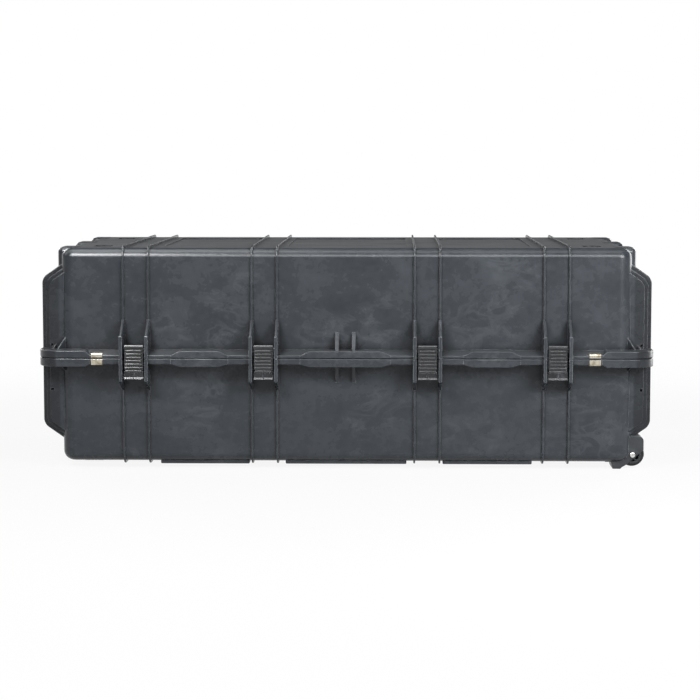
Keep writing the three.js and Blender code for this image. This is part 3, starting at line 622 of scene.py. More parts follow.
def scuffs_group() -> Tree:
    """Makes a mask of soft, curling rub marks in patches."""
    tree, graph, given = shader_group("rub_marks", {"Scale": 22.0, "Amount": 0.5}, "Mask")
    curls = graph.noise(
        given.outputs["Scale"], detail=5.0, distortion=1.4, stretch=(0.7, 1.0, 1.2)
    )
    off = graph.maths("ABSOLUTE", graph.maths("SUBTRACT", curls, 0.56))
    soft = graph.maths("SUBTRACT", 1.0, graph.ramp(off, low=0.0, high=0.09))
    patches = graph.ramp(graph.noise(scale=6.0, distortion=0.6), low=0.46, high=0.66)
    mask = graph.maths("MULTIPLY", graph.maths("MULTIPLY", soft, patches), given.outputs["Amount"])
    graph.add("NodeGroupOutput", {"Mask": mask})
    return tree


def painted_shade_group() -> Tree:
    """Makes a mask of painted shade: in a moulding's corners and gaps, found by ambient occlusion,
    and on its ends past the body.
    """
    tree, graph, given = shader_group(
        "dark_crevices", {"Reach": 0.02, "Amount": 0.7, "Ends": 0.0}, "Mask"
    )
    # Painted shade: ambient occlusion darkens the colour in corners, creases and gaps.
    near = graph.add(
        "AmbientOcclusion", {"Distance": given.outputs["Reach"]}, samples=8, only_local=True
    )
    painted_occlusion = graph.maths("SUBTRACT", 1.0, graph.ramp(near.outputs["AO"], low=0.3, high=0.97))
    # Painted shade: the ends past the body are darkened by their place along X.
    place = graph.add("SeparateXYZ", {0: graph.add("TexCoord").outputs["Object"]})
    end = graph.ramp(
        graph.maths("ABSOLUTE", place.outputs["X"]),
        low=LAYOUT.half_length, high=LAYOUT.half_length + 6 * MM,
    )
    mask = graph.maths(
        "MAXIMUM", graph.maths("MULTIPLY", painted_occlusion, given.outputs["Amount"]),
        graph.maths("MULTIPLY", end, given.outputs["Ends"]),
    )
    graph.add("NodeGroupOutput", {"Mask": mask})
    return tree


def upward_paleness_group() -> Tree:
    """Makes a mask that pales faces which look up, streaked along the length."""
    tree, graph, given = shader_group("top_bloom", {"Amount": 0.5}, "Mask")
    normal = graph.add("SeparateXYZ", {0: graph.add("TexCoord").outputs["Normal"]})
    upward = graph.ramp(normal.outputs["Z"], low=0.35, high=0.95)
    streaky = graph.noise(scale=60.0, detail=4.0, distortion=0.3, stretch=(0.06, 1.0, 1.0))
    streaks = graph.ramp(streaky, low=0.3, high=0.75)
    varied = graph.maths("MULTIPLY_ADD", streaks, 0.55, 0.45)
    mask = graph.maths("MULTIPLY", graph.maths("MULTIPLY", upward, varied), given.outputs["Amount"])
    graph.add("NodeGroupOutput", {"Mask": mask})
    return tree


class Effects:
    """The shared node groups, built once."""

    def __init__(self) -> None:
        """Builds every group."""
        self.clouds = clouds_group()
        self.grain = grain_group()
        self.wear = edge_wear_and_highlight_group()
        self.scuffs = scuffs_group()
        self.dust = upward_paleness_group()
        self.painted_shade = painted_shade_group()


def placed(graph: Graph, group: Tree, **values: object) -> bpy.types.Node:
    """Places a shared group in a material with its own values.

    Args:
        graph: The material's graph.
        group: The shared group.
        **values: Values for the group's inputs.

    Returns:
        The group's node.
    """
    node = graph.add("Group")
    node.node_tree = group
    for name, value in values.items():
        node.inputs[name].default_value = value
    return node


def colour(code: str) -> tuple[float, float, float, float]:
    """Turns a hex colour as seen on a screen into a linear colour.

    Args:
        code: Its six hex digits.

    Returns:
        The colour with its alpha.
    """
    parts = [int(code[i:i + 2], 16) / 255 for i in (0, 2, 4)]
    linear = [c / 12.92 if c <= 0.04045 else ((c + 0.055) / 1.055) ** 2.4 for c in parts]
    return (*linear, 1.0)


def grey(level: float) -> tuple[float, float, float, float]:
    """Gives a grey by its linear level."""
    return level, level, level, 1.0


@dataclass(frozen=True)
class Finish:
    """A material with the name of the slot that its pieces belong to."""

    material: bpy.types.Material
    slot: str


def blank_material(name: str) -> tuple[bpy.types.Material, Graph]:
    """Starts a material and gives it with its empty graph.

    Args:
        name: The material's name.

    Returns:
        The material and its graph.
    """
    made = bpy.data.materials.new(name)
    made.use_nodes = True
    return made, Graph(made.node_tree)


@dataclass(frozen=True)
class Moulded:
    """A moulded plastic or rubber: cloudy colour, grain, pale edges that are partly wear and partly
    a painted highlight, paler faces that look up, and painted shade in corners, gaps and on the
    ends.
    """

    name: str
    slot: str
    dark: str
    light: str
    # Pale colour of marks and edges; along edges it is partly a painted highlight.
    worn: str
    roughness: float
    cloud_size: float = 9.0
    grain: float = 900.0
    grain_depth: float = 0.06
    waves: float = 0.3
    # Strength and width of the pale edges, partly wear and partly a painted highlight.
    wear: float = 0.5
    wear_width: float = 0.0015
    scuffs: float = 0.35
    top_paleness: float = 0.3
    gloss: float = 0.3
    # Painted shade: its strength in corners and gaps, its reach, its strength on the ends past the
    # body, and its colour.
    shade: float = 0.75
    shade_reach: float = 0.02
    ends: float = 0.0
    shade_colour: str = "141518"
    cloud_roughness: float = 0.12
    polish: float = 0.12
    top_paleness_roughness: float = 2.0

    def finish(self, effects: Effects) -> Finish:
        """Builds the finish.

        Args:
            effects: The shared node groups.

        Returns:
            A new material with its slot.
        """
        made, graph = blank_material(self.name)
        clouds = placed(
            graph, effects.clouds,
            Dark=colour(self.dark), Light=colour(self.light), Size=self.cloud_size,
        )
        wear = placed(graph, effects.wear, Width=self.wear_width)
        # Pale edges: partly wear, partly a painted highlight along the edges.
        rubbed_and_highlit = graph.maths("MULTIPLY", wear.outputs["Mask"], self.wear)
        scuffs = placed(graph, effects.scuffs, Amount=self.scuffs)
        top_paleness = placed(graph, effects.dust, Amount=self.top_paleness)
        marks = graph.maths("MAXIMUM", rubbed_and_highlit, scuffs.outputs["Mask"])
        pale = graph.maths("MAXIMUM", marks, top_paleness.outputs["Mask"])
        base = graph.blend(pale, clouds.outputs["Color"], colour(self.worn))
        # Painted shade in corners, creases and gaps, and on the ends past the body.
        painted_shade = placed(
            graph, effects.painted_shade, Reach=self.shade_reach, Amount=self.shade, Ends=self.ends,
        )
        base = graph.blend(painted_shade.outputs["Mask"], base, colour(self.shade_colour))
        rough = graph.maths(
            "MULTIPLY_ADD", clouds.outputs["Mask"], self.cloud_roughness,
            self.roughness - self.cloud_roughness / 2,
        )
        rough = graph.maths("MULTIPLY_ADD", marks, -self.polish, rough)
        rough = graph.maths("MULTIPLY_ADD", top_paleness.outputs["Mask"], self.top_paleness_roughness, rough)
        grain = placed(graph, effects.grain, Scale=self.grain, Waves=self.waves)
        bump = graph.add(
            "Bump", {"Strength": self.grain_depth, "Distance": MM, "Height": grain.outputs[0]}
        )
        shader = graph.add(
            "BsdfPrincipled",
            {
                "Base Color": base, "Roughness": rough, "Normal": bump.outputs[0],
                "Specular IOR Level": self.gloss,
            },
        )
        graph.add("OutputMaterial", {"Surface": shader.outputs[0]})
        return Finish(made, self.slot)


@dataclass(frozen=True)
class Steel:
    """Stainless steel, brushed along one axis, with a faint stain."""

    name: str
    bright: str
    stained: str
    roughness: float
    brushed_along: Axis = Axis.X
    slot: str = "steel"
    brushing: float = 1400.0
    brush_stretch: float = 0.03
    brush_roughness: float = 0.22
    brush_depth: float = 0.05
    wear_width: float = 0.0006
    polish: float = 0.08

    def finish(self, effects: Effects) -> Finish:
        """Builds the finish.

        Args:
            effects: The shared node groups.

        Returns:
            A new material with its slot.
        """
        made, graph = blank_material(self.name)
        stretch = [1.0, 1.0, 1.0]
        stretch[self.brushed_along.value] = self.brush_stretch
        brushing = graph.noise(self.brushing, stretch=tuple(stretch))
        stains = graph.noise(scale=90.0, detail=4.0, distortion=0.6)
        stain = graph.ramp(stains, low=0.4, high=0.75)
        base = graph.blend(stain, colour(self.bright), colour(self.stained))
        rough = graph.maths(
            "MULTIPLY_ADD", brushing, self.brush_roughness,
            self.roughness - self.brush_roughness / 2,
        )
        wear = placed(graph, effects.wear, Width=self.wear_width)
        rough = graph.maths("MULTIPLY_ADD", wear.outputs["Mask"], -self.polish, rough)
        bump = graph.add(
            "Bump", {"Strength": self.brush_depth, "Distance": MM / 2, "Height": brushing}
        )
        shader = graph.add(
            "BsdfPrincipled",
            {"Base Color": base, "Metallic": 1.0, "Roughness": rough, "Normal": bump.outputs[0]},
        )
        graph.add("OutputMaterial", {"Surface": shader.outputs[0]})
        return Finish(made, self.slot)


class Finishes:
    """Every finish on the case, made once."""

    def __init__(self, effects: Effects) -> None:
        """Makes the materials.

        Args:
            effects: The shared node groups.
        """
        # The shell carries painted shade in its corners, gaps and on its ends past the body; its
        # pale edges are partly wear and partly a painted highlight.
        self.shell = Moulded(
            "charcoal_shell", "shell", "33373c", "4c5157", "a9aeb3", 0.29, 16.0, wear=0.85,
            wear_width=0.002, scuffs=0.065, top_paleness=0.08, shade=0.85, ends=0.55,
        ).finish(effects)
        self.fitting = Moulded(
            "dark_fitting", "fitting", "35373a", "45484c", "8a8f94", 0.4, 20.0, wear=0.6,
            scuffs=0.2, top_paleness=0.15,
        ).finish(effects)
        # The lever's pale edges are partly wear and partly a painted highlight.
        self.lever = Moulded(
            "ridged_lever", "fitting", "1d1f22", "2e3135", "b8bdc4", 0.22, 40.0, wear=1.0,
            scuffs=0.1, top_paleness=0.08, gloss=0.7,
        ).finish(effects)
        self.grip = Moulded(
            "soft_grip", "fitting", "1d1e20", "292a2d", "4c4e52", 0.68, 25.0, grain=600.0,
            grain_depth=0.15, wear=0.3, scuffs=0.1, top_paleness=0.1,
        ).finish(effects)
        self.rubber = Moulded(
            "foot_rubber", "rubber", "191a1b", "242527", "45474a", 0.78, 30.0, grain=700.0,
            grain_depth=0.12, wear=0.35, scuffs=0.15, top_paleness=0.1,
        ).finish(effects)
        self.tyre = Moulded(
            "wheel_tyre", "tyre", "1c1d1f", "2b2c2e", "5a5c5f", 0.7, 40.0, grain=800.0,
            grain_depth=0.12, wear=0.5, scuffs=0.3, top_paleness=0.0,
        ).finish(effects)
        self.plate = Steel("padlock_plate", "c4bdac", "8f8570", 0.3, Axis.Z).finish(effects)
        self.pin = Steel("bright_pin", "dcdcda", "b9b6ae", 0.24).finish(effects)
        self.dark_pin = Steel("blackened_pin", "3c3d40", "2a2b2d", 0.38).finish(effects)


def piece_from(
    name: str, bm: Mesh, finish: Finish, body: str, node: str, tail: str = ""
) -> bpy.types.Object:
    """Makes a finished piece that rides on a body of the frame.

    Args:
        name: The piece's name.
        bm: Its mesh, which is freed.
        finish: Its material and slot.
        body: The body that carries it.
        node: The frame's node that it stands for.
        tail: What the names of the piece and of the node both end with.

    Returns:
        The new object.
    """
    name += tail
    sheet = bpy.data.meshes.new(name)
    bm.to_mesh(sheet)
    bm.free()
    for face in sheet.polygons:
        face.use_smooth = True
    sheet.set_sharp_from_angle(angle=math.radians(SHADING_BREAK))
    sheet.materials.append(finish.material)
    piece = bpy.data.objects.new(name, sheet)
    bpy.context.scene.collection.objects.link(piece)
    piece.modifiers.new("even_shading", "WEIGHTED_NORMAL").keep_sharp = True
    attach(piece, body)
    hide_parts(node + tail)
    log.info("%s: %d faces on %s", name, len(sheet.polygons), body)
    return piece


# The shells


@dataclass
class Shell:
    """Sizes and shapes that both moulded shells have."""

    half: Half
    height: float
    lip_edge: float
    lip_root: float
    block_height: float
    bumper_edge: float
    bumper_root: float
    ear_flat: float
    ear_end: float
    gusset_foot: float
    gusset_rise: float
    corner_gusset_rise: float
    seat_height: float
    inside_wall: float = 0.0025
    block_reach: float = 0.038
    middle_block_half: float = 0.067
    small_block_half: float = 0.036
    block_chamfer: float = 0.017
    small_block_place: float = 0.2715
    corner_block_start: float = 0.484
    corner_block_chamfer: float = 0.009
    corner_block_depth: float = 0.118
    pry_half: float = 0.027
    pry_height: float = 0.003
    pry_depth: float = 0.008
    rib_thickness: float = 0.0036
    rib_height: float = 0.005
    rib_roundness: float = 0.7
    ear_reach: float = 0.044
    ear_toe: float = 0.005
    ear_shoulder: float = 0.012
    gusset_places: tuple[float, float] = (-0.0163, 0.015)
    gusset_half: float = 0.0035
    gusset_reach: float = 0.030
    corner_gusset_angles: tuple[float, float] = (0.38, 0.8)
    corner_gusset_half: float = 0.0017
    corner_gusset_reach: float = 0.028
    bumper_steps: int = 3
    bumper_step: float = 0.0075
    bumper_inner: float = -0.006
    bumper_half_depth: float = 0.265
    bumper_skin: float = 0.003
    bumper_rounding: float = 0.010
    bumper_edge_round: float = 0.0019
    bumper_bury: float = 0.016
    flank_pocket: Span = (0.124, 0.235)
    flank_rise: Span = (0.022, 0.112)
    end_pocket_half: float = 0.092
    end_pocket_rise: Span = (0.022, 0.112)
    hole_size: float = 0.005
    hole_depth: float = 0.012
    hole_rise: float = 0.021
    seat_half: float = 0.017
    knuckle_reach: float = 0.0385
    knuckle_radius: float = 0.0055
    hinge_pin_radius: float = 0.0025
    running_gap: float = 0.0006
    crease: float = 0.001
    lip_round: float = 0.0016
    body_corner: float = 0.026
    end_draft: float = 0.001
    past: float = 0.004
    # Rises at which the forms start; they differ, so that no two end faces lie in one plane
    body_start: float = LAYOUT.gap * 1.5
    ear_start: float = LAYOUT.gap * 2
    rib_start: float = LAYOUT.gap * 3
    bumper_start: float = LAYOUT.gap * 4

    def level(self, rise: float) -> float:
        """Gives the height of a rise away from the parting line."""
        return LAYOUT.parting + self.half.value * rise

    def levels(self, first: float, second: float) -> Span:
        """Gives the heights of two rises."""
        return self.level(first), self.level(second)

    def wall_plate(self, points: Sequence[Point], span: Span, side: Side) -> Mesh:
        """Makes an upright plate on a long side from its outline as out and rise."""
        placed = [(side.value * (LAYOUT.half_depth + out), self.level(up)) for out, up in points]
        return prism(placed, Axis.X, span)

    def body_block(self, inset: float, start: float) -> Mesh:
        """Makes the drafted, round-edged body as a solid, drawn in by an inset.

        Args:
            inset: How far the body is drawn in on all sides.
            start: Its open end, as a rise from the parting line.

        Returns:
            The solid body.
        """
        half_x = LAYOUT.half_length - inset
        half_y = LAYOUT.half_depth - inset
        closed = self.level(self.height - inset)
        bm = block((-half_x, half_x), (-half_y, half_y), (self.level(start), closed))
        soften(bm, self.body_corner - inset, 10, only=upright)
        soften(bm, LAYOUT.edge - inset, 8, only=at_height(closed))
        for vert in bm.verts:
            share = self.half.value * (vert.co.z - LAYOUT.parting) / self.height
            vert.co.x -= math.copysign(self.end_draft * share, vert.co.x)
            vert.co.y -= math.copysign(LAYOUT.draft * share, vert.co.y)
        return bm

    def rib(self, place: float) -> Mesh:
        """Makes one rib, which runs over the closed face and down both long sides.

        Args:
            place: Its middle on X.

        Returns:
            The rib's mesh.
        """
        radius = LAYOUT.edge + self.rib_height
        depth = self.rib_height + self.inside_wall
        open_half = LAYOUT.half_depth + self.rib_height
        closed_half = open_half - LAYOUT.draft
        right = (closed_half - radius, self.height + self.rib_height - radius)
        left = (-right[0], right[1])
        foot = self.rib_start
        outline = [
            (open_half, foot), *arc(right, radius, 0, 90), *arc(left, radius, 90, 180),
            (-open_half, foot), (depth - open_half, foot),
            *arc(left, radius - depth, 180, 90), *arc(right, radius - depth, 90, 0),
            (open_half - depth, foot),
        ]
        placed = [(y, self.level(rise)) for y, rise in outline]
        half = self.rib_thickness / 2
        rib = prism(placed, Axis.X, around(place, half))
        return soften(rib, half * self.rib_roundness, 4, ROUND)

    def lip_section(self) -> list[Point]:
        """Gives the lip's own section as out and rise; each shell has its own."""
        raise NotImplementedError

    def lip(self) -> Mesh:
        """Makes the lip around the parting line with its padlock seats, bays and hinge cuts."""
        ring = band([(LAYOUT.ring(out), self.level(rise)) for out, rise in self.lip_section()])
        parts = [soften(ring, self.lip_round, 4, sharper_than=45)]
        front = -LAYOUT.half_depth
        for side in SIGNS:
            parts.append(block(
                around(side * LAYOUT.plate_centre, self.seat_half),
                (front - LAYOUT.lip_reach + self.crease, front + self.inside_wall),
                self.levels(self.ear_start, self.seat_height),
            ))
        return carve(merge(parts), self.bays() + self.hinge_cuts() + self.plate_cuts())

    def bays(self) -> list[Mesh]:
        """Makes the spaces for the latches."""
        front = -LAYOUT.half_depth
        depth = (front - LAYOUT.lip_reach - self.past, front - LAYOUT.strike_reach)
        rise = self.levels(-self.past, self.ear_end)
        return [block(around(x, LAYOUT.bay_half), depth, rise) for x in LAYOUT.pair_places]

    def hinge_rod(self, place: float, half: float, radius: float) -> Mesh:
        """Makes a round bar on the hinge axis behind one pair of ribs."""
        centre = (LAYOUT.half_depth + self.knuckle_reach, LAYOUT.parting)
        return rod(radius, Axis.X, around(place, half), centre, 40)

    def hinge_cuts(self) -> list[Mesh]:
        """Makes the spaces that the hinge knuckles turn in."""
        half = LAYOUT.ears_half + self.running_gap
        radius = self.knuckle_radius + self.running_gap
        return [self.hinge_rod(place, half, radius) for place in LAYOUT.pair_places]

    def plate_cuts(self) -> list[Mesh]:
        """Makes the lands and holes for the padlock plates."""
        cuts = []
        front = -LAYOUT.half_depth
        over = self.block_height + self.past
        for side in SIGNS:
            centre = side * LAYOUT.plate_centre
            cuts.append(block(
                around(centre, LAYOUT.plate_width / 2 + LAYOUT.gap),
                (front - LAYOUT.lip_reach - self.past, front - LAYOUT.strike_reach),
                self.levels(self.seat_height, over),
            ))
            cuts.append(rod(
                LAYOUT.padlock_hole + LAYOUT.gap, Axis.Z, self.levels(-self.past, over),
                (centre, front - LAYOUT.padlock_out),
            ))
        return cuts

    def block_outline(self, centre: float, half: float) -> list[Point]:
        """Gives a lip block's outline on X and Z, with sloped flanks.

        Args:
            centre: Its middle on X.
            half: Half of its flat front.

        Returns:
            The outline's corners.
        """
        low = self.ear_start
        flank = half + self.block_chamfer
        outline = [
            (-flank, low), (-flank, self.lip_edge), (-half, self.block_height),
            (half, self.block_height), (flank, self.lip_edge), (flank, low),
        ]
        return [(centre + x, self.level(rise)) for x, rise in outline]

    def lip_blocks(self) -> Mesh:
        """Makes the raised blocks on the lip's front and around its corners."""
        span = (-LAYOUT.half_depth - self.block_reach, -LAYOUT.half_depth + self.inside_wall)
        places = [(0.0, self.middle_block_half)]
        places += [(side * self.small_block_place, self.small_block_half) for side in SIGNS]
        parts = []
        for centre, half in places:
            outline = self.block_outline(centre, half)
            parts.append(soften(prism(outline, Axis.Y, span), self.lip_round, 4))
        slots = [
            block(
                around(side * self.small_block_place, self.pry_half),
                (span[0] - self.past, span[0] + self.pry_depth),
                self.levels(-self.past, self.pry_height / 2),
            )
            for side in SIGNS
        ]
        return merge([carve(merge(parts), slots), self.corner_blocks()])

    def corner_blocks(self) -> Mesh:
        """Makes the blocks that wrap the lip's four corners."""
        far = self.block_height + self.past
        through = self.levels(-self.past, far)
        start = self.corner_block_start
        foot = start - self.corner_block_chamfer
        gap = [
            (-foot, -self.past), (foot, -self.past), (foot, self.lip_edge),
            (start, self.block_height), (start, far), (-start, far),
            (-start, self.block_height), (-foot, self.lip_edge),
        ]
        reach = LAYOUT.half_depth + self.block_reach + self.past
        along_x = LAYOUT.half_length + self.block_reach + self.past
        side = LAYOUT.half_depth - self.corner_block_depth
        thick = self.levels(self.ear_start, self.block_height)
        slab = prism(LAYOUT.ring(self.block_reach), Axis.Z, thick)
        ring = carve(slab, [prism(LAYOUT.ring(-self.inside_wall), Axis.Z, through)])
        parts = carve(ring, [
            prism([(x, self.level(rise)) for x, rise in gap], Axis.Y, (-reach, reach)),
            block((-along_x, along_x), (-side, side), through),
        ])
        return soften(parts, self.lip_round, 4, sharper_than=45)

    def gussets(self) -> list[Mesh]:
        """Makes the sloped plates at the middle of the front and around the corners."""
        outline = [
            (-self.inside_wall, self.gusset_foot), (self.gusset_reach, self.gusset_foot),
            (0.0, self.gusset_rise), (-self.inside_wall, self.gusset_rise),
        ]
        spans = [around(place, self.gusset_half) for place in self.gusset_places]
        parts = [
            soften(self.wall_plate(outline, span, Side.FRONT), self.crease) for span in spans
        ]
        inner = LAYOUT.corner - self.inside_wall
        corner_outline = [
            (inner, self.gusset_foot), (LAYOUT.corner + self.corner_gusset_reach, self.gusset_foot),
            (LAYOUT.corner, self.corner_gusset_rise), (inner, self.corner_gusset_rise),
        ]
        placed = [(x, self.level(rise)) for x, rise in corner_outline]
        half = self.corner_gusset_half
        for sign_x, sign_y, angle in product(SIGNS, SIGNS, self.corner_gusset_angles):
            plate = soften(prism(placed, Axis.Y, (-half, half)), self.crease)
            heading = math.atan2(sign_y * math.sin(angle), sign_x * math.cos(angle))
            corner = Vector((
                sign_x * (LAYOUT.half_length - LAYOUT.corner),
                sign_y * (LAYOUT.half_depth - LAYOUT.corner), 0,
            ))
            parts.append(turned(plate, heading, Axis.Z, corner))
        return parts

    def bumper(self, end: End) -> Mesh:
        """Makes the stepped bumper at one end, with its pockets.

        Args:
            end: The end that it wraps.

        Returns:
            The bumper's mesh.
        """
        slope = (self.bumper_root - self.bumper_edge) / (LAYOUT.lip_reach - self.bumper_inner)
        layers = []
        for step in range(self.bumper_steps):
            inset = self.bumper_step * (self.bumper_steps - 1 - step)
            reach = LAYOUT.lip_reach - LAYOUT.gap - inset
            root = self.bumper_root - inset * math.hypot(1, slope)
            outline = [
                (-self.bumper_bury, self.bumper_start), (reach, self.bumper_start),
                (reach, root - slope * (reach - self.bumper_inner)), (self.bumper_inner, root),
                (-self.bumper_bury, root),
            ]
            placed = [
                (end.value * (LAYOUT.half_length + x), self.level(rise)) for x, rise in outline
            ]
            half = self.bumper_half_depth - self.bumper_step * step
            layer = prism(placed, Axis.Y, (-half, half))
            shoulder = Vector(placed[2])
            soften(
                layer, self.bumper_rounding, 8, sharper_than=20,
                only=lambda edge: all((vert.co.xz - shoulder).length < MM for vert in edge.verts),
            )
            layers.append(soften(layer, self.bumper_edge_round, 4))
        cavity = self.body_block(LAYOUT.wall, -self.past)
        return carve(merge(layers), [cavity, *self.bumper_cuts(end)])

    def bumper_cuts(self, end: End) -> list[Mesh]:
        """Makes the pockets and the small square holes of one bumper.

        Args:
            end: The bumper's end.

        Returns:
            The spaces to cut.
        """
        span_x = (
            end.value * (LAYOUT.half_length + self.bumper_skin),
            end.value * (LAYOUT.half_length + LAYOUT.lip_reach + self.past),
        )
        cuts = [self.end_pocket(span_x)]
        centre = end.value * (LAYOUT.half_length + LAYOUT.pivot_out)
        half = self.hole_size / 2
        for flank in SIGNS:
            near, far = (flank * value for value in self.flank_pocket)
            pocket = block(span_x, (near, far), self.levels(*self.flank_rise))
            cuts.append(soften(pocket, self.crease * 2))
            cuts.append(block(
                around(centre, half),
                (flank * (self.bumper_half_depth - self.hole_depth),
                 flank * (self.bumper_half_depth + self.past)),
                self.levels(self.hole_rise - half, self.hole_rise + half),
            ))
        return cuts

    def end_pocket(self, span_x: Span) -> Mesh:
        """Makes the pocket in the middle of a bumper.

        Args:
            span_x: How far along X the pocket goes.

        Returns:
            The space to cut.
        """
        half = self.end_pocket_half
        pocket = block(span_x, (-half, half), self.levels(*self.end_pocket_rise))
        return soften(pocket, self.crease * 2)

    def front_ears(self) -> list[Mesh]:
        """Makes the ears that carry each rib past the latches, with rounded shoulders."""
        outline = [
            (-self.inside_wall, self.ear_start), (self.ear_reach, self.ear_start),
            (self.ear_reach, self.ear_flat), (self.ear_toe, self.ear_end),
            (-self.inside_wall, self.ear_end),
        ]
        half = LAYOUT.ear_thickness / 2
        shoulder = Vector((-(LAYOUT.half_depth + self.ear_reach), self.level(self.ear_flat)))
        parts = []
        for place in LAYOUT.ear_places:
            ear = self.wall_plate(outline, around(place, half), Side.FRONT)
            soften(
                ear, self.ear_shoulder, 8, sharper_than=20,
                only=lambda edge: (edge.verts[0].co.yz - shoulder).length < MM,
            )
            parts.append(soften(ear, self.crease * 1.5, 4, sharper_than=50))
        return parts

    def own_parts(self) -> list[Mesh]:
        """Makes what only this shell has."""
        raise NotImplementedError

    def tub_cuts(self) -> list[Mesh]:
        """Makes what is cut from the plain body."""
        raise NotImplementedError

    def build(self, name: str, body: str, finish: Finish) -> bpy.types.Object:
        """Builds and dresses the whole shell.

        Args:
            name: Name of the piece.
            body: The body that it rides on.
            finish: The shell's material and slot.

        Returns:
            The finished piece.
        """
        parts = [carve(self.body_block(0.0, self.body_start), self.tub_cuts())]
        parts += [self.rib(place) for place in LAYOUT.ear_places]
        parts += [self.lip(), self.lip_blocks(), *(self.bumper(end) for end in End)]
        parts += self.gussets() + self.own_parts()
        return piece_from(name, merge(parts), finish, body, f"{body}_shell")


@dataclass
class LidShell(Shell):
    """The lid's moulding."""

    half: Half = Half.LID
    height: float = LAYOUT.lid_height
    lip_edge: float = 0.006
    lip_root: float = 0.013
    block_height: float = 0.014
    bumper_edge: float = 0.146
    bumper_root: float = 0.176
    ear_flat: float = 0.042
    ear_end: float = 0.069
    gusset_foot: float = 0.005
    gusset_rise: float = 0.046
    corner_gusset_rise: float = 0.037
    seat_height: float = 0.008
    groove: Span = (0.0037, 0.0093)
    groove_height: float = 0.0043
    recess: float = 0.002
    panel_half_depth: float = 0.205
    panel_corner: float = 0.014
    boss_places: tuple[float, ...] = (-0.215, 0.0, 0.215)
    boss_half: Point = (0.023, 0.031)
    boss_centre: float = 0.521
    boss_rise: float = 0.001
    boss_drop: float = 0.038
    boss_corner: float = 0.012
    boss_dome: float = 0.010
    lattice_place: Point = (0.466, 0.176)
    lattice_half: Point = (0.017, 0.028)
    lattice_bar: float = 0.003
    lattice_depth: float = 0.0042
    back_gusset_reach: float = 0.030
    knuckle_half: float = 0.0175
    arm_length: float = 0.014
    latch_pin: Point = (0.029, 0.017)
    latch_pin_hole: float = 0.00255

    def lip_section(self) -> list[Point]:
        """Gives the lid's lip, sloped above and grooved below for the seal."""
        low, wide = LAYOUT.gap, LAYOUT.lip_reach
        inner, outer = self.groove
        return [
            (wide, low), (wide, self.lip_edge), (0.0, self.lip_root),
            (-self.inside_wall, self.lip_root), (-self.inside_wall, low),
            (inner, low), (inner, self.groove_height), (outer, self.groove_height), (outer, low),
        ]

    def tub_cuts(self) -> list[Mesh]:
        """Makes the cavity, the recessed fields and the braced corner pockets."""
        top = LAYOUT.top
        levels = (top - self.recess, top + self.past)
        cuts = [self.body_block(LAYOUT.wall, -self.past)]
        for low, high in LAYOUT.panel_ranges:
            outline = rounded_rectangle((high - low) / 2, self.panel_half_depth, self.panel_corner)
            middle = (low + high) / 2
            cuts.append(prism([(middle + x, y) for x, y in outline], Axis.Z, levels))
        return cuts + self.lattice()

    def lattice(self) -> list[Mesh]:
        """Makes the triangular pockets of the four cross-braced squares."""
        half_x, half_y = self.lattice_half
        bar = self.lattice_bar
        spread = bar / 2
        triangles = [
            [(half_x, bar - half_y), (half_x, half_y - bar), (spread, 0.0)],
            [(-half_x, half_y - bar), (-half_x, bar - half_y), (-spread, 0.0)],
            [(half_x - bar, half_y), (bar - half_x, half_y), (0.0, spread)],
            [(bar - half_x, -half_y), (half_x - bar, -half_y), (0.0, -spread)],
        ]
        levels = (LAYOUT.top - self.lattice_depth, LAYOUT.top + self.past)
        cuts = []
        for sign_x, sign_y, points in product(SIGNS, SIGNS, triangles):
            centre = Vector((sign_x * self.lattice_place[0], sign_y * self.lattice_place[1]))
            placed = [tuple(centre + Vector(point)) for point in points]
            cuts.append(soften(prism(placed, Axis.Z, levels), bar / 3, only=upright))
        return cuts

    def bosses(self) -> Mesh:
        """Makes the six rounded stacking bosses on the lid's ends."""
        parts = []
        top = LAYOUT.top + self.boss_rise
        for side, place in product(SIGNS, self.boss_places):
            boss = block(
                around(side * self.boss_centre, self.boss_half[0]),
                around(place, self.boss_half[1]), (LAYOUT.top - self.boss_drop, top),
            )
            soften(boss, self.boss_corner, 8, only=upright)
            parts.append(soften(boss, self.boss_dome, 8, ROUND, only=at_height(top)))
        return carve(merge(parts), [self.body_block(LAYOUT.wall, -self.past)])

    def own_parts(self) -> list[Mesh]:
        """Makes the lid's ears, stacking bosses and hinge knuckles."""
        ears = merge(self.front_ears())
        reach = LAYOUT.bay_half + LAYOUT.ear_thickness + self.past
        out, up = self.latch_pin
        centre = (-LAYOUT.half_depth - out, self.level(up))
        bores = [
            rod(self.latch_pin_hole, Axis.X, around(place, reach), centre)
            for place in LAYOUT.pair_places
        ]
        return [carve(ears, bores), self.bosses(), *self.back_gussets(), *self.knuckles()]

    def back_gussets(self) -> list[Mesh]:
        """Makes the plates that carry each rib down to the hinge."""
        outline = [
            (-self.inside_wall, self.lip_edge), (self.back_gusset_reach, self.lip_edge),
            (self.back_gusset_reach, self.ear_flat), (self.ear_toe, self.ear_end),
            (-self.inside_wall, self.ear_end),
        ]
        half = LAYOUT.ear_thickness / 2
        return [
            soften(self.wall_plate(outline, around(x, half), Side.BACK), self.crease)
            for x in LAYOUT.ear_places
        ]

    def knuckles(self) -> list[Mesh]:
        """Makes the lid's hinge knuckles, each on its arm."""
        reach = self.knuckle_reach
        arm = [
            (reach - self.arm_length, self.ear_start), (reach, self.ear_start),
            (reach, self.knuckle_radius), (reach - self.arm_length, self.lip_root),
            (0.0, self.lip_root), (0.0, self.lip_edge),
        ]
        parts = []
        for place in LAYOUT.pair_places:
            span = around(place, self.knuckle_half)
            parts.append(soften(self.wall_plate(arm, span, Side.BACK), self.crease / 2, 2))
            barrel = self.hinge_rod(place, self.knuckle_half, self.knuckle_radius)
            bore = self.hinge_rod(place, self.knuckle_half + self.past, self.hinge_pin_radius)
            parts.append(carve(barrel, [bore]))
        return parts


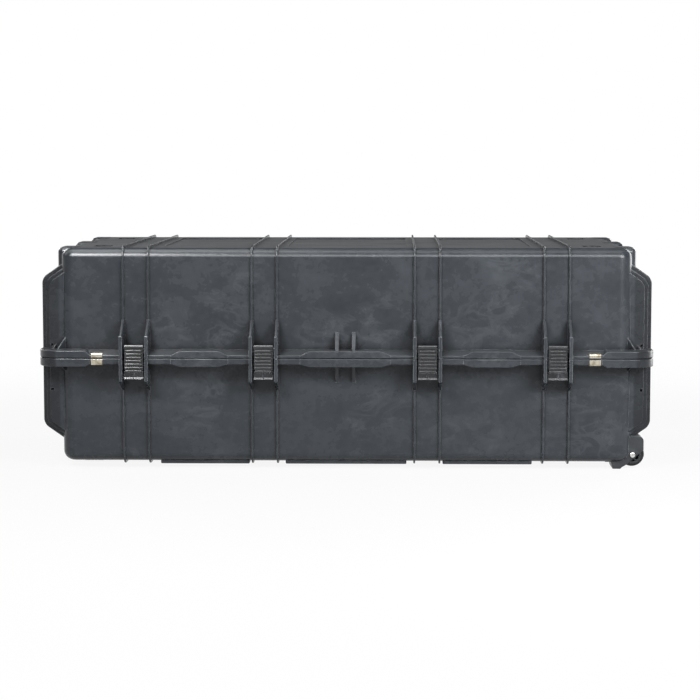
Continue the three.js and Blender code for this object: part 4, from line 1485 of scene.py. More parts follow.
@dataclass
class BaseShell(Shell):
    """The base's moulding, with its wheel wells."""

    half: Half = Half.BASE
    height: float = LAYOUT.base_height
    lip_edge: float = 0.011
    lip_root: float = 0.015
    block_height: float = 0.016
    bumper_edge: float = 0.131
    bumper_root: float = 0.161
    ear_flat: float = 0.044
    ear_end: float = 0.062
    gusset_foot: float = 0.0035
    gusset_rise: float = 0.048
    corner_gusset_rise: float = 0.029
    seat_height: float = 0.011
    end_pocket_rise: Span = (0.029, 0.143)
    hole_rise: float = LAYOUT.pivot_drop
    channel: Span = (0.0035, 0.0335)
    channel_roof: float = 0.0045
    strike_rim: float = 0.0035
    strike_drop: float = 0.011
    pad_thickness: float = 0.0055
    pad_half_depth: float = 0.262
    rod_seat: float = 0.013
    rod_hole: float = 0.0043
    well_start: float = 0.4867
    well_centre: float = 0.234
    well_half: float = 0.0273
    well_top: float = 0.062
    valve_drop: float = 0.042
    valve_hole: float = 0.0053

    def lip_section(self) -> list[Point]:
        """Gives the base's lip, a channel that opens downwards."""
        low, wide = LAYOUT.gap, LAYOUT.lip_reach
        inner, outer = self.channel
        fall = (self.lip_root - self.lip_edge) / wide
        return [
            (wide, low), (wide, self.lip_edge), (outer, self.lip_edge + fall * (wide - outer)),
            (outer, self.channel_roof), (inner, self.channel_roof),
            (inner, self.lip_root - fall * inner), (0.0, self.lip_root),
            (-self.inside_wall, self.lip_root), (-self.inside_wall, low),
        ]

    def wells(self, grow: float) -> list[Mesh]:
        """Makes the spaces of both wheel wells, grown by a wall.

        Args:
            grow: The wall around each well.

        Returns:
            The two spaces.
        """
        half = self.well_half + grow
        return [
            block(
                (self.well_start - grow, LAYOUT.half_length + LAYOUT.lip_reach + self.past),
                around(side * self.well_centre, half), (-self.past, self.well_top + grow),
            )
            for side in SIGNS
        ]

    def tub_cuts(self) -> list[Mesh]:
        """Makes the cavity around the wheel wells, the wells and the valve's hole."""
        cavity = carve(self.body_block(LAYOUT.wall, -self.past), self.wells(LAYOUT.wall))
        hole = self.valve_bore(self.past, LAYOUT.wall * 3)
        return [cavity, *self.wells(0.0), hole]

    def valve_bore(self, out: float, inwards: float) -> Mesh:
        """Makes the valve's hole, by its reach out of and into the end wall."""
        span = (-LAYOUT.half_length - out, -LAYOUT.half_length + inwards)
        return rod(self.valve_hole, Axis.X, span, (0.0, self.level(self.valve_drop)))

    def bumper(self, end: End) -> Mesh:
        """Makes the stepped bumper at one end, clear of the valve's stem or the wheels.

        Args:
            end: The end that it wraps.

        Returns:
            The bumper's mesh.
        """
        made = super().bumper(end)
        if end is End.RIGHT:
            return carve(made, self.wells(0.0))
        return carve(made, [self.valve_bore(self.past * 2, self.past)])

    def end_pocket(self, span_x: Span) -> Mesh:
        """Makes the pocket that a folded handle hangs in, with seats for its rod.

        Args:
            span_x: How far along X the pocket goes.

        Returns:
            The space to cut.
        """
        seat = self.end_pocket_half + self.rod_seat
        out = math.copysign(LAYOUT.half_length + LAYOUT.pivot_out, span_x[0])
        centre = (out, self.level(LAYOUT.pivot_drop))
        half = self.end_pocket_half
        return merge([
            block(span_x, (-half, half), self.levels(*self.end_pocket_rise)),
            rod(self.rod_hole, Axis.Y, (-seat, seat), centre),
        ])

    def own_parts(self) -> list[Mesh]:
        """Makes the base's ears, strikes, hinge ears and bottom pads."""
        depth = (-self.pad_half_depth, self.pad_half_depth)
        rise = (LAYOUT.ground_gap - self.pad_thickness, LAYOUT.ground_gap + self.inside_wall)
        pads = [soften(block(reach, depth, rise), self.crease * 2) for reach in LAYOUT.panel_ranges]
        return [*self.front_ears(), *self.strikes(), *self.hinge_ears(), *pads]

    def strikes(self) -> list[Mesh]:
        """Makes the rims that the latch hooks catch."""
        reach = LAYOUT.strike_reach
        outline = [
            (reach - self.strike_rim, self.rib_start), (reach, self.rib_start),
            (reach, self.strike_drop), (reach - self.strike_rim, self.strike_drop),
        ]
        half = LAYOUT.bay_half + LAYOUT.ear_thickness / 2
        return [
            soften(self.wall_plate(outline, around(x, half), Side.FRONT), self.crease / 2, 2)
            for x in LAYOUT.pair_places
        ]

    def hinge_ears(self) -> list[Mesh]:
        """Makes the base's hinge ears with their barrels."""
        reach, radius = self.knuckle_reach, self.knuckle_radius
        outline = [
            (-self.inside_wall, self.ear_start), (reach - radius, self.ear_start),
            (reach + radius, self.ear_start), (reach + radius, self.ear_flat),
            (self.ear_toe, self.ear_end), (-self.inside_wall, self.ear_end),
        ]
        half = LAYOUT.ear_thickness / 2
        parts = []
        for place in LAYOUT.ear_places:
            plate = self.wall_plate(outline, around(place, half), Side.BACK)
            barrel = self.hinge_rod(place, half, radius)
            bore = self.hinge_rod(place, half + self.past, self.hinge_pin_radius)
            parts += [soften(plate, self.crease, sharper_than=50), carve(barrel, [bore])]
        return parts


# Fittings on the shells


@dataclass
class Latch:
    """One lever latch; its outlines are out and rise from the wall at the parting line."""

    number: int
    place: float
    plate: Span = (0.0340, 0.0352)
    plate_rise: Span = (-0.027, 0.022)
    field_top: float = 0.0145
    field_bottom: float = 0.0164
    wide: float = 0.018
    ridges: int = 7
    ridge_first: float = 0.0139
    ridge_pitch: float = 0.0063
    ridge_height: float = 0.0036
    ridge_out: float = 0.0397
    ridge_arch: float = 0.0005
    ridge_curve: float = 1.7
    ridge_steps: int = 12
    ridge_roundness: float = 0.36
    bar: Outline = (
        (0.031, 0.018), (0.0375, 0.0178), (0.0388, 0.0192), (0.0388, 0.0232),
        (0.037, 0.025), (0.031, 0.0238),
    )
    tab: Outline = (
        (0.0343, -0.0245), (0.0372, -0.0245), (0.0378, -0.0358), (0.0402, -0.0385),
        (0.0375, -0.039),
    )
    web: Outline = ((0.0355, -0.0240), (0.0388, -0.0240), (0.0398, -0.0372), (0.0376, -0.0376))
    web_half: float = 0.0012
    sill: Outline = ((0.0350, -0.0262), (0.0378, -0.0262), (0.0378, -0.0244), (0.0350, -0.0244))
    cheek: Outline = (
        (0.0245, 0.0184), (0.029, 0.022), (0.036, 0.022), (0.036, -0.0206),
        (0.0265, -0.017), (0.0265, -0.0061), (0.0245, 0.0131),
    )
    cheek_thickness: float = 0.003
    hook_half: float = 0.014
    hook_shoulder: float = 0.0328
    hook_claw: Outline = (
        (0.0315, -0.016), (0.024, -0.027), (0.0146, -0.027), (0.0146, -0.019), (0.022, -0.0165),
    )
    hook_pin: Point = (0.030, -0.010)
    hook_pin_radius: float = 0.00175
    hook_barrel: float = 0.0039
    lever_pin: Point = (0.029, 0.017)
    lever_pin_radius: float = 0.00225
    crease: float = 0.0005

    def across(self, points: Sequence[Point], half: float, middle: float = 0) -> Mesh:
        """Draws an outline of out and rise across the latch."""
        placed = [(-LAYOUT.half_depth - out, LAYOUT.parting + rise) for out, rise in points]
        return prism(placed, Axis.X, around(self.place + middle, half))

    def facing(self, points: Sequence[Point], out: Span) -> Mesh:
        """Draws an outline seen from the front out between two distances from the wall."""
        placed = [(self.place + x, LAYOUT.parting + rise) for x, rise in points]
        return prism(placed, Axis.Y, (-LAYOUT.half_depth - out[0], -LAYOUT.half_depth - out[1]))

    def ridge(self, index: int) -> Mesh:
        """Makes one arched finger ridge, wider the lower it is.

        Args:
            index: Its place in the row, from 0 at the top.

        Returns:
            The ridge's mesh.
        """
        share = index / (self.ridges - 1)
        half = self.field_top + (self.field_bottom - self.field_top) * share
        middle = self.ridge_first - index * self.ridge_pitch
        places = [2 * step / self.ridge_steps - 1 for step in range(self.ridge_steps + 1)]
        arched = [
            (half * x, middle + self.ridge_arch * (0.5 - abs(x) ** self.ridge_curve))
            for x in places
        ]
        rise = self.ridge_height / 2
        outline = [(x, z - rise) for x, z in arched] + [(x, z + rise) for x, z in arched[::-1]]
        bar = self.facing(outline, (self.plate[0] + self.crease, self.ridge_out))
        return soften(bar, self.ridge_height * self.ridge_roundness, 5, ROUND)

    def lever(self) -> Mesh:
        """Makes the lever: plate, ridges, top bar, flared tab with its web, and cheeks."""
        low, high = self.plate_rise
        plate = [
            (-self.field_top, high), (self.field_top, high),
            (self.field_bottom, low), (-self.field_bottom, low),
        ]
        parts = [soften(self.facing(plate, self.plate), self.crease, 2)]
        parts += [self.ridge(index) for index in range(self.ridges)]
        rows = (
            (self.bar, self.wide, self.crease * 1.6, 4),
            (self.tab, self.wide, self.crease * 1.4, 4),
            (self.web, self.web_half, self.crease, 3),
            (self.sill, self.field_bottom, self.crease, 3),
        )
        parts += [soften(self.across(outline, half), edge, n) for outline, half, edge, n in rows]
        half = self.cheek_thickness / 2
        for side in SIGNS:
            cheek = self.across(self.cheek, half, side * (self.field_top + half))
            parts.append(soften(cheek, self.crease))
        return merge(parts)

    def hook(self) -> Mesh:
        """Makes the barrelled hook that pulls on the base's strike."""
        out, up = self.hook_pin
        arm = [(out - self.hook_barrel, up), (self.hook_shoulder, up), *self.hook_claw]
        barrel = self.across(arc(self.hook_pin, self.hook_barrel, 0, 345, 23), self.hook_half)
        return merge([
            soften(self.across(arm, self.hook_half), self.crease),
            soften(barrel, self.crease, sharper_than=ROUND),
        ])

    def pin(self, place: Point, radius: float, half: float) -> Mesh:
        """Makes a pin across the latch with rounded ends."""
        centre = (-LAYOUT.half_depth - place[0], LAYOUT.parting + place[1])
        return rod(radius, Axis.X, around(self.place, half), centre, 28, edge=radius / 5)

    def build(self, finishes: Finishes) -> None:
        """Builds and dresses the lever, the hook and both pins.

        Args:
            finishes: The case's finishes.
        """
        latch, hook = f"latch_{self.number}", f"hook_{self.number}"
        lever_pin = self.pin(self.lever_pin, self.lever_pin_radius, LAYOUT.ears_half - LAYOUT.gap)
        reach = self.field_top + self.cheek_thickness
        hook_pin = self.pin(self.hook_pin, self.hook_pin_radius, reach)
        for row in (
            ("ridged_lever", self.lever(), finishes.lever, latch, "latch_lever"),
            ("barrelled_hook", self.hook(), finishes.fitting, hook, "latch_hook"),
            ("lever_pin", lever_pin, finishes.dark_pin, "lid", "latch_pin"),
            ("hook_pivot", hook_pin, finishes.pin, latch, "hook_pin"),
        ):
            piece_from(*row, tail=f"_{self.number}")


@dataclass
class PadlockPlate:
    """A bent steel plate that lines a padlock hole in the lip."""

    half: Half
    end: End
    seat: float
    thickness: float = 0.0015
    bend: float = 0.0028
    foot: float = 0.0019
    edge: float = 0.0003

    def build(self, finishes: Finishes) -> None:
        """Builds and dresses the plate on its shell.

        Args:
            finishes: The case's finishes.
        """
        inner, face = LAYOUT.strike_reach + LAYOUT.gap, LAYOUT.lip_reach + LAYOUT.gap
        outer = face + self.thickness
        under = self.seat + LAYOUT.gap
        over = under + self.thickness
        middle = (outer - self.bend, over - self.bend)
        outline = [
            (face, self.foot), (outer, self.foot), *arc(middle, self.bend, 0, 90),
            (inner, over), (inner, under), *arc(middle, self.bend - self.thickness, 90, 0),
        ]
        placed = [
            (-LAYOUT.half_depth - out, LAYOUT.parting + self.half.value * rise)
            for out, rise in outline
        ]
        centre = self.end.value * LAYOUT.plate_centre
        plate = prism(placed, Axis.X, around(centre, LAYOUT.plate_width / 2))
        hole = rod(
            LAYOUT.padlock_hole, Axis.Z, around(LAYOUT.parting, LAYOUT.wall * 5),
            (centre, -LAYOUT.half_depth - LAYOUT.padlock_out), 40,
        )
        mesh = carve(soften(plate, self.edge, 2, ROUND), [hole])
        body = self.half.name.lower()
        tail = f"_{body}_{self.end.name.lower()}"
        piece_from("hasp_plate", mesh, finishes.plate, body, "padlock_plate", tail)


@dataclass
class EndHandle:
    """A fold-down handle that hangs from a rod in an end bumper."""

    end: End
    arm_place: float = 0.068
    arm_half: float = 0.006
    arm_radius: float = 0.008
    length: float = 0.054
    grip_radius: float = 0.011
    grip_half: float = 0.062
    groove: float = 0.0011
    groove_pitch: float = 0.0062
    groove_shape: Outline = ((0.32, 0.0), (0.18, 0.7), (0.0, 1.0), (-0.18, 0.7), (-0.32, 0.0))
    rod_radius: float = 0.004
    rod_half: float = 0.1047
    crease: float = 0.0014

    @property
    def pivot(self) -> Vector:
        """The middle of the handle's axis."""
        out = self.end.value * (LAYOUT.half_length + LAYOUT.pivot_out)
        return Vector((out, 0.0, LAYOUT.parting - LAYOUT.pivot_drop))

    def frame_arms(self) -> Mesh:
        """Makes both arms and the bar that joins them."""
        x, z = self.pivot.x, self.pivot.z
        low = z - self.length
        outline = arc((x, z), self.arm_radius, 0, 180, 14)
        outline += arc((x, low), self.arm_radius, 180, 360, 14)
        parts = []
        reach = self.arm_place
        for side in SIGNS:
            arm = prism(outline, Axis.Y, around(side * reach, self.arm_half))
            parts.append(soften(arm, self.crease, 4, ROUND))
        parts.append(rod(self.arm_radius, Axis.Y, (-reach, reach), (x, low), 40))
        bore = rod(self.rod_radius + LAYOUT.gap, Axis.Y, (-2 * reach, 2 * reach), (x, z), 40)
        return carve(merge(parts), [bore])

    def grip(self) -> Mesh:
        """Makes the round soft grip, grooved across and rounded at its ends."""
        radius, half, crease = self.grip_radius, self.grip_half, self.crease
        rim = [
            (self.arm_radius - crease, half), (radius - crease * 2, half),
            (radius - crease / 2, half - crease), (radius, half - crease * 3),
        ]
        count = int((half - crease * 6) / self.groove_pitch)
        grooves = [
            (radius - self.groove * depth, index * self.groove_pitch + step * self.groove_pitch)
            for index in range(count, -count - 1, -1) for step, depth in self.groove_shape
        ]
        profile = rim + grooves + [(reach, -place) for reach, place in rim[::-1]]
        return revolve(profile, self.pivot - Vector((0, 0, self.length)), 40)

    def build(self, finishes: Finishes) -> None:
        """Builds and dresses the arms, the grip and the rod.

        Args:
            finishes: The case's finishes.
        """
        end = self.end.name.lower()
        body = f"{end}_handle"
        bar = rod(
            self.rod_radius, Axis.Y, (-self.rod_half, self.rod_half),
            (self.pivot.x, self.pivot.z), edge=self.crease / 2,
        )
        for row in (
            ("handle_arms", self.frame_arms(), finishes.fitting, body, "handle"),
            ("handle_grip", self.grip(), finishes.grip, body, "handle"),
            ("steel_rod", bar, finishes.pin, "base", "handle_rod"),
        ):
            piece_from(*row, tail=f"_{end}")


@dataclass
class CornerWheel:
    """A wheel in its housing under one corner, with its bolt and nut."""

    side: Side
    centre_x: float = 0.539
    centre_y: float = 0.234
    height: float = 0.027
    radius: float = 0.023
    half: float = 0.019
    tyre: float = 0.006
    tyre_shoulder: Outline = ((0.004, 0.0), (0.0022, 0.0006), (0.0006, 0.0022), (0.0, 0.0042))
    tread_groove: Outline = (
        (0.0, -0.0062), (0.0008, -0.0056), (0.0008, -0.0044), (0.0, -0.0038),
    )
    web: float = 0.006
    rim: float = 0.003
    boss: float = 0.009
    chamfer: float = 0.0006
    spokes: int = 6
    spoke_inset: float = 0.002
    bushing: float = 0.0055
    bushing_past: float = 0.001
    axle: float = 0.003
    bore_half: float = 0.04
    head: float = 0.0052
    head_height: float = 0.0036
    head_dome: Outline = (
        (0.0001, 1.0), (0.5, 1.0), (0.78, 0.93), (0.94, 0.72), (1.0, 0.42), (1.0, 0.0),
        (0.0001, 0.0),
    )
    socket: float = 0.46
    socket_floor: float = 0.45
    stem_start: float = 0.3
    housing_half: float = 0.027
    housing_inside: float = 0.021
    housing_outline: Outline = (
        (0.487, 0.0132), (0.499, 0.0132), (0.502, 0.0), (0.5165, 0.0), (0.5195, 0.003),
        (0.528, 0.008), (0.560, 0.036), *arc((0.551, 0.0527), 0.009, 0, 90),
        (0.487, 0.0617),
    )
    housing_edge: float = 0.0012
    housing_mouth: Span = (0.57, -0.004)
    tyre_gap: float = 0.0025
    nut: float = 0.0056
    nut_height: float = 0.0042
    edge: float = 0.0004

    @property
    def hub(self) -> Vector:
        """The middle of the wheel."""
        return Vector((self.centre_x, self.side.value * self.centre_y, self.height))

    def bar(self, radius: float, span: Span, sides: int = 32, **rim: float) -> Mesh:
        """Makes a round bar on the axle's line between two places on Y."""
        return rod(radius, Axis.Y, span, (self.centre_x, self.height), sides, **rim)

    def bore(self) -> Mesh:
        """Makes the space of the bolt's stem, longer than the housing."""
        return self.bar(self.axle + LAYOUT.gap, around(self.hub.y, self.bore_half))

    def wheel_ring(self, flank: Sequence[Point]) -> Mesh:
        """Spins a ring of the wheel from the profile of one flank and its mirror image."""
        profile = [*flank, *((reach, -place) for reach, place in flank[::-1])]
        return revolve(profile, self.hub, 64)

    def tyre_mesh(self) -> Mesh:
        """Makes the tyre, crowned, with two shallow grooves around the tread."""
        half, radius = self.half, self.radius
        return self.wheel_ring([
            (radius - self.tyre, -half),
            *((radius - drop, step - half) for drop, step in self.tyre_shoulder),
            *((radius - drop, place) for drop, place in self.tread_groove),
        ])

    def hub_mesh(self) -> Mesh:
        """Makes the hub: rim, web, boss and six spoke ribs on each face."""
        half, boss, chamfer = self.half, self.boss, self.chamfer
        rim = self.radius - self.tyre - LAYOUT.gap
        inside = rim - self.rim
        parts = [self.wheel_ring([
            (self.bushing + LAYOUT.gap, -half), (boss - chamfer, -half), (boss, chamfer - half),
            (boss, -self.web), (inside, -self.web), (inside, chamfer - half),
            (inside + chamfer, -half), (rim, -half),
        ])]
        middle = (boss + inside) / 2
        reach = (inside - boss) / 2 + self.rim / 3
        flat = half - self.spoke_inset
        for index in range(self.spokes):
            spoke = block(around(middle, reach), (-flat, flat), (-self.rim / 3, self.rim / 3))
            soften(spoke, self.rim / 8, 2)
            parts.append(turned(spoke, math.tau * index / self.spokes, Axis.Y, self.hub))
        return merge(parts)

    def housing_mesh(self) -> Mesh:
        """Makes the housing with its skid foot and the space that the wheel runs in."""
        y, out = self.hub.y, self.side.value
        shell = prism(self.housing_outline, Axis.Y, around(y, self.housing_half))
        soften(shell, self.housing_edge, sharper_than=50)
        inside = around(y, self.housing_inside)
        space = self.radius + self.tyre_gap
        far, under = self.housing_mouth
        nut_seat = y - out * (self.housing_half - self.nut_height - LAYOUT.gap)
        return carve(shell, [
            self.bar(space, inside, 64),
            block((self.centre_x, far), inside, (under, self.height + space)),
            self.bore(),
            self.bar(self.nut + LAYOUT.gap, (nut_seat, y - out * self.bore_half)),
        ])

    def bolt_mesh(self) -> Mesh:
        """Makes the axle bolt: a domed head with a hexagonal socket, and its stem."""
        out, tall = self.side.value, self.head_height
        face = self.hub.y + out * (self.housing_half + LAYOUT.gap)
        dome = [(self.head * reach, face + out * tall * share) for reach, share in self.head_dome]
        head = revolve(dome, Vector((self.centre_x, 0.0, self.height)))
        span = (face + out * tall * self.socket_floor, face + out * tall * 2)
        socket = self.bar(self.head * self.socket, span, 6)
        far = self.hub.y - out * (self.housing_half - LAYOUT.gap)
        span = (face + out * tall * self.stem_start, far)
        return merge([carve(head, [socket]), self.bar(self.axle, span, edge=self.edge, steps=2)])

    def nut_mesh(self) -> Mesh:
        """Makes the hexagonal nut with its rounded corners."""
        out = self.side.value
        near = self.hub.y - out * (self.housing_half - self.nut_height)
        far = self.hub.y - out * (self.housing_half - LAYOUT.gap)
        hexagon = soften(self.bar(self.nut, (near, far), 6), self.edge)
        return carve(hexagon, [self.bore()])

    def bushing_mesh(self) -> Mesh:
        """Makes the sleeve that the wheel turns on."""
        span = around(self.hub.y, self.half + self.bushing_past)
        return carve(self.bar(self.bushing, span, 40, edge=self.edge), [self.bore()])

    def build(self, finishes: Finishes) -> None:
        """Builds and dresses every piece of the wheel.

        Args:
            finishes: The case's finishes.
        """
        name = self.side.name.lower()
        body = f"{name}_wheel"
        for row in (
            ("corner_tyre", self.tyre_mesh(), finishes.tyre, body, "wheel_tyre"),
            ("corner_hub", self.hub_mesh(), finishes.fitting, body, "wheel_hub"),
            ("corner_sleeve", self.bushing_mesh(), finishes.pin, "base", "wheel_bushing"),
            ("corner_housing", self.housing_mesh(), finishes.fitting, "base", "wheel_housing"),
            ("corner_bolt", self.bolt_mesh(), finishes.pin, "base", "wheel_axle_bolt"),
            ("corner_nut", self.nut_mesh(), finishes.pin, "base", "wheel_axle_nut"),
        ):
            piece_from(*row, tail=f"_{name}")


@dataclass
class Foot:
    """A rubber foot under the end without wheels."""

    side: Side
    centre: Point = (-0.490, 0.150)
    half: float = 0.020
    corner: float = 0.0035
    chamfer: float = 0.003
    groove: float = 0.0008

    def build(self, finishes: Finishes) -> None:
        """Builds and dresses the foot, grooved underneath.

        Args:
            finishes: The case's finishes.
        """
        x, y = self.centre[0], self.side.value * self.centre[1]
        top = LAYOUT.ground_gap - LAYOUT.gap
        pad = block(around(x, self.half), around(y, self.half), (0.0, top))
        soften(pad, self.corner, 5, only=upright)
        soften(pad, self.chamfer, 4, ROUND, only=at_height(0.0))
        grooves = [
            block(
                around(x + step * self.corner * 2, self.groove), around(y, self.half * 2),
                (-self.groove, self.groove),
            )
            for step in (-1, 0, 1)
        ]
        tail = f"_{self.side.name.lower()}"
        piece_from("rubber_foot", carve(pad, grooves), finishes.rubber, "base", "foot", tail)


@dataclass
class Valve:
    """The pressure valve over the left handle."""

    drop: float = 0.042
    wall_outer: float = -0.539
    wall_inner: float = -0.530
    stem: float = 0.005
    stem_past: float = 0.002
    flange: float = 0.009
    flange_thickness: float = 0.003
    seal_bore: float = 0.006
    seal_thickness: float = 0.0012
    cap: float = 0.008
    cap_thickness: float = 0.005
    cap_ribs: int = 18
    rib: float = 0.0008
    rib_inset: Span = (0.0004, 0.0009)
    nut: float = 0.0085
    nut_thickness: float = 0.004
    edge: float = 0.0005

    def bar(self, radius: float, span: Span, sides: int = 40, **rim: float) -> Mesh:
        """Makes a round bar on the valve's axis between two places on X."""
        return rod(radius, Axis.X, span, (0.0, LAYOUT.parting - self.drop), sides, **rim)

    def ribbed_cap(self, inner: float, outer: float) -> Mesh:
        """Makes the cap with ribs around it, between two places on X.

        Args:
            inner: Its face towards the wall.
            outer: Its outer face.

        Returns:
            The cap's mesh.
        """
        parts = [self.bar(self.cap - self.edge, (inner, outer), 48, edge=MM, steps=4)]
        reach = self.cap - self.rib
        span = (inner - self.rib_inset[0], outer + self.rib_inset[1])
        for index in range(self.cap_ribs):
            angle = math.tau * index / self.cap_ribs
            place = (
                reach * math.cos(angle), LAYOUT.parting - self.drop + reach * math.sin(angle)
            )
            parts.append(rod(self.rib, Axis.X, span, place, 10))
        return merge(parts)

    def build(self, finishes: Finishes) -> None:
        """Builds and dresses the body, the seal, the ribbed cap and the nut.

        Args:
            finishes: The case's finishes.
        """
        gap = LAYOUT.gap
        seal_outer = self.wall_outer - gap
        seal_inner = seal_outer - self.seal_thickness
        flange_in = seal_inner - gap
        flange_out = flange_in - self.flange_thickness
        cap_in = flange_out - gap
        nut_near = self.wall_inner + gap
        tail = self.wall_inner + self.nut_thickness + gap * 2 + self.stem_past
        body = merge([
            self.bar(self.flange, (flange_in, flange_out), 48, edge=0.6 * MM),
            self.bar(self.stem, (tail, flange_out + MM), 32, edge=self.edge, steps=2),
        ])
        washer = (seal_outer, seal_inner)
        seal = carve(
            self.bar(self.flange, washer, edge=self.seal_thickness / 5),
            [self.bar(self.seal_bore, around(seal_outer, LAYOUT.wall))],
        )
        nut = soften(self.bar(self.nut, (nut_near, nut_near + self.nut_thickness), 6), self.edge)
        bore = self.bar(self.stem + gap, around(nut_near, LAYOUT.wall * 2))
        for row in (
            ("vent_body", body, finishes.fitting, "base", "valve_body"),
            ("vent_seal", seal, finishes.rubber, "base", "valve_seal"),
            ("vent_cap", self.ribbed_cap(cap_in, cap_in - self.cap_thickness),
             finishes.fitting, "base", "valve_cap"),
            ("vent_nut", carve(nut, [bore]), finishes.fitting, "base", "valve_nut"),
        ):
            piece_from(*row)


@dataclass
class Seal:
    """The rubber seal in the lid's groove, with a soft lip underneath."""

    place: float = 0.004
    width: float = 0.005
    height: float = 0.004

    def build(self, finishes: Finishes) -> None:
        """Builds and dresses the seal.

        Args:
            finishes: The case's finishes.
        """
        low, high = self.place, self.place + self.width
        middle = (low + high) / 2
        rise = self.height / 4
        section = [
            (high, rise), (high, self.height), (low, self.height), (low, rise),
            (middle - rise, 0.0), (middle + rise, 0.0),
        ]
        ring = band([(LAYOUT.ring(out), LAYOUT.parting + up) for out, up in section])
        mesh = soften(ring, rise / 3, 2, sharper_than=25)
        piece_from("lid_gasket", mesh, finishes.rubber, "lid", "lid_seal")


@dataclass
class HingePins:
    """The four steel pins along the back."""

    radius: float = 0.0025
    reach: float = 0.0385

    def build(self, finishes: Finishes) -> None:
        """Builds and dresses each pin on the base.

        Args:
            finishes: The case's finishes.
        """
        half = LAYOUT.ears_half - LAYOUT.gap
        centre = (LAYOUT.half_depth + self.reach, LAYOUT.parting)
        for number, place in enumerate(LAYOUT.pair_places, 1):
            bar = rod(self.radius, Axis.X, around(place, half), centre, 28, edge=self.radius / 5)
            piece_from("hinge_rod", bar, finishes.pin, "base", "hinge_pin", f"_{number}")


# Studio


@dataclass
class Softbox:
    """An area lamp that faces a point; a sheen lamp is only seen mirrored."""

    name: str
    place: tuple[float, float, float]
    aim: tuple[float, float, float]
    size: Point
    power: float
    sheen: bool = False

    def build(self) -> None:
        """Adds the lamp to the scene."""
        lamp = bpy.data.lights.new(self.name, "AREA")
        lamp.shape = "RECTANGLE"
        lamp.size, lamp.size_y = self.size
        lamp.energy = self.power
        holder = bpy.data.objects.new(self.name, lamp)
        holder.location = self.place
        heading = Vector(self.aim) - Vector(self.place)
        holder.rotation_euler = heading.to_track_quat("-Z", "Y").to_euler()
        holder.visible_camera = False
        holder.visible_diffuse = not self.sheen
        bpy.context.scene.collection.objects.link(holder)


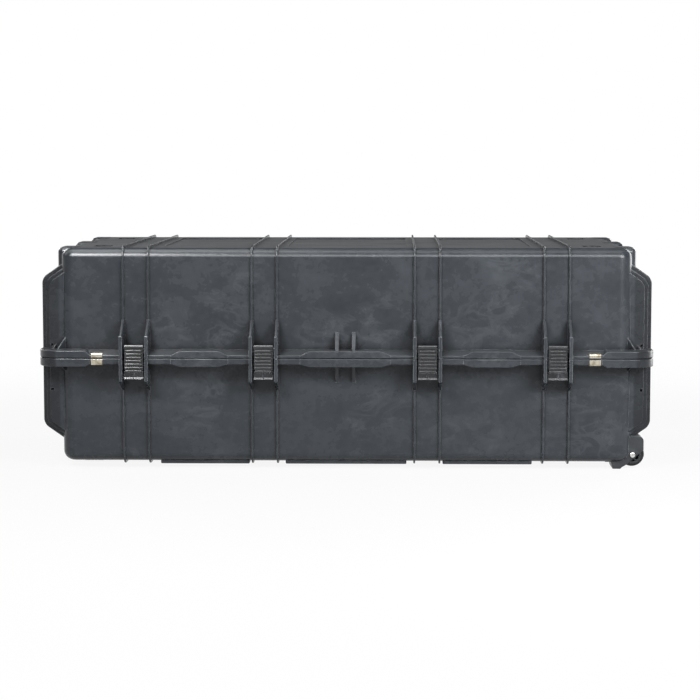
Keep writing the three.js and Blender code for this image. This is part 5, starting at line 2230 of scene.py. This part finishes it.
@dataclass
class Studio:
    """The white studio: floor, backdrop, soft lamps and the camera."""

    camera_place: tuple[float, float, float] = (0.0895, -4.1458, 0.5873)
    camera_pitch: float = -5.3425
    camera_yaw: float = 1.2094
    focal: float = 106.86
    sensor: float = 36.0
    floor_half: float = 30.0
    floor_white: float = 0.9
    floor_seen: float = 0.85
    floor_fade: Span = (0.8, 2.2)
    bounce: float = 0.35
    ambient: float = 0.05
    backdrop_from: Span = (-0.1, 0.6)
    backdrop_top: Span = (0.03, 0.22)
    lamps: list[Softbox] = field(default_factory=lambda: [
        Softbox("left_key", (-0.86, -1.7, 1.45), (-0.4, -0.25, 0.4), (0.5, 0.45), 21.5),
        Softbox("right_key", (1.3, -1.6, 0.95), (0.35, -0.25, 0.3), (0.9, 0.8), 33.0),
        Softbox("rear_left", (-2.0, 2.3, 1.3), (0.0, 0.2, 0.2), (1.0, 1.0), 32.0),
        Softbox("rear_right", (2.0, 2.3, 1.3), (0.0, 0.2, 0.2), (1.0, 1.0), 32.0),
        Softbox("left_sheen", (-1.0, -1.45, 1.35), (-0.4, -0.25, 0.4), (0.9, 0.9), 60.0, True),
        Softbox("over_sheen", (-0.65, -0.4, 2.1), (-0.4, -0.25, 0.4), (1.1, 0.9), 22.0, True),
        Softbox("side_sheen", (-1.9, 0.0, 1.9), (-0.5, 0.0, 0.4), (0.8, 2.4), 20.0, True),
        Softbox("wide_sheen", (0.5, -1.85, 1.25), (0.2, -0.25, 0.4), (2.2, 0.6), 40.0, True),
        Softbox("top_sheen", (0.45, -0.7, 2.1), (0.3, -0.25, 0.4), (1.8, 1.0), 14.0, True),
        Softbox("right_sheen", (2.0, 0.9, 0.4), (0.5, -0.1, 0.2), (1.0, 1.0), 16.0, True),
    ])

    def sight(self, graph: Graph, mirrored: object = 1.0) -> Socket:
        """Gives 1 for rays that see the background straight or through glass.

        Args:
            graph: The graph that the nodes go into.
            mirrored: The share of it that mirrored rays see.

        Returns:
            The share of white that a ray sees.
        """
        path = graph.add("LightPath")
        mirror = graph.maths("MULTIPLY", path.outputs["Is Glossy Ray"], mirrored)
        seen = graph.maths("MAXIMUM", path.outputs["Is Camera Ray"], mirror)
        return graph.maths("MAXIMUM", seen, path.outputs["Is Transmission Ray"])

    def world(self) -> None:
        """Makes the world: a white backdrop behind, low round it, and soft dim light."""
        made = bpy.data.worlds.new("white_studio")
        bpy.context.scene.world = made
        made.use_nodes = True
        graph = Graph(made.node_tree)
        heading = graph.add("SeparateXYZ", {0: graph.add("TexCoord").outputs["Generated"]})
        behind = graph.ramp(heading.outputs["Y"], *self.backdrop_from)
        over = graph.ramp(heading.outputs["Z"], *self.backdrop_top)
        backdrop = graph.maths("MULTIPLY", behind, graph.maths("SUBTRACT", 1.0, over))
        share = self.sight(graph, backdrop)
        strength = graph.maths("MULTIPLY_ADD", share, 1.0 - self.ambient, self.ambient)
        shade = graph.add("Background", {"Color": grey(1.0), "Strength": strength})
        graph.add("OutputWorld", {"Surface": shade.outputs[0]})

    def floor(self) -> None:
        """Makes the pale floor, which keeps the case's shadow and fades to plain white."""
        made, graph = blank_material("white_floor")
        seen = self.sight(graph)
        tint = graph.blend(seen, grey(self.bounce), grey(self.floor_seen))
        matt = graph.add("BsdfDiffuse", {"Color": tint})
        glow = graph.add("Emission", {"Color": grey(1.0), "Strength": 1.0})
        place = graph.add("TexCoord").outputs["Object"]
        out = graph.add("VectorMath", {0: place}, operation="LENGTH").outputs["Value"]
        far = graph.ramp(out, *self.floor_fade)
        white = graph.maths("MULTIPLY_ADD", far, 1.0 - self.floor_white, self.floor_white)
        share = graph.maths("MULTIPLY", seen, white)
        mixed = graph.add("MixShader", {0: share, 1: matt.outputs[0], 2: glow.outputs[0]})
        graph.add("OutputMaterial", {"Surface": mixed.outputs[0]})
        bm = bmesh.new()
        bmesh.ops.create_grid(bm, x_segments=1, y_segments=1, size=self.floor_half)
        sheet = bpy.data.meshes.new("studio_floor")
        bm.to_mesh(sheet)
        bm.free()
        sheet.materials.append(made)
        ground = bpy.data.objects.new("studio_floor", sheet)
        ground.location.z = -LAYOUT.gap
        bpy.context.scene.collection.objects.link(ground)

    def camera(self) -> None:
        """Sets the camera at the photograph's place and angle."""
        lens = bpy.data.cameras.new("view")
        lens.lens = self.focal
        lens.sensor_width = self.sensor
        lens.sensor_fit = "HORIZONTAL"
        eye = bpy.data.objects.new("view", lens)
        eye.location = self.camera_place
        turn = (math.radians(90 + self.camera_pitch), 0.0, math.radians(self.camera_yaw))
        eye.rotation_euler = Euler(turn)
        bpy.context.scene.collection.objects.link(eye)
        bpy.context.scene.camera = eye

    def build(self) -> None:
        """Sets up the whole studio."""
        bpy.context.scene.view_settings.view_transform = "Standard"
        self.camera()
        self.world()
        self.floor()
        for lamp in self.lamps:
            lamp.build()


def main() -> None:
    """Builds the case over its frame and reports each piece."""
    logging.basicConfig(level=logging.INFO, format="%(name)s: %(message)s")
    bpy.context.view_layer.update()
    Studio().build()
    finishes = Finishes(Effects())
    base, lid = BaseShell(), LidShell()
    base.build("base_moulding", "base", finishes.shell)
    lid.build("lid_moulding", "lid", finishes.shell)
    Seal().build(finishes)
    HingePins().build(finishes)
    for number, place in enumerate(LAYOUT.pair_places, 1):
        Latch(number, place).build(finishes)
    for end in End:
        for shell in (lid, base):
            PadlockPlate(shell.half, end, shell.seat_height).build(finishes)
        EndHandle(end).build(finishes)
    for side in Side:
        CornerWheel(side).build(finishes)
        Foot(side).build(finishes)
    Valve().build(finishes)


if __name__ == "__main__":
    main()
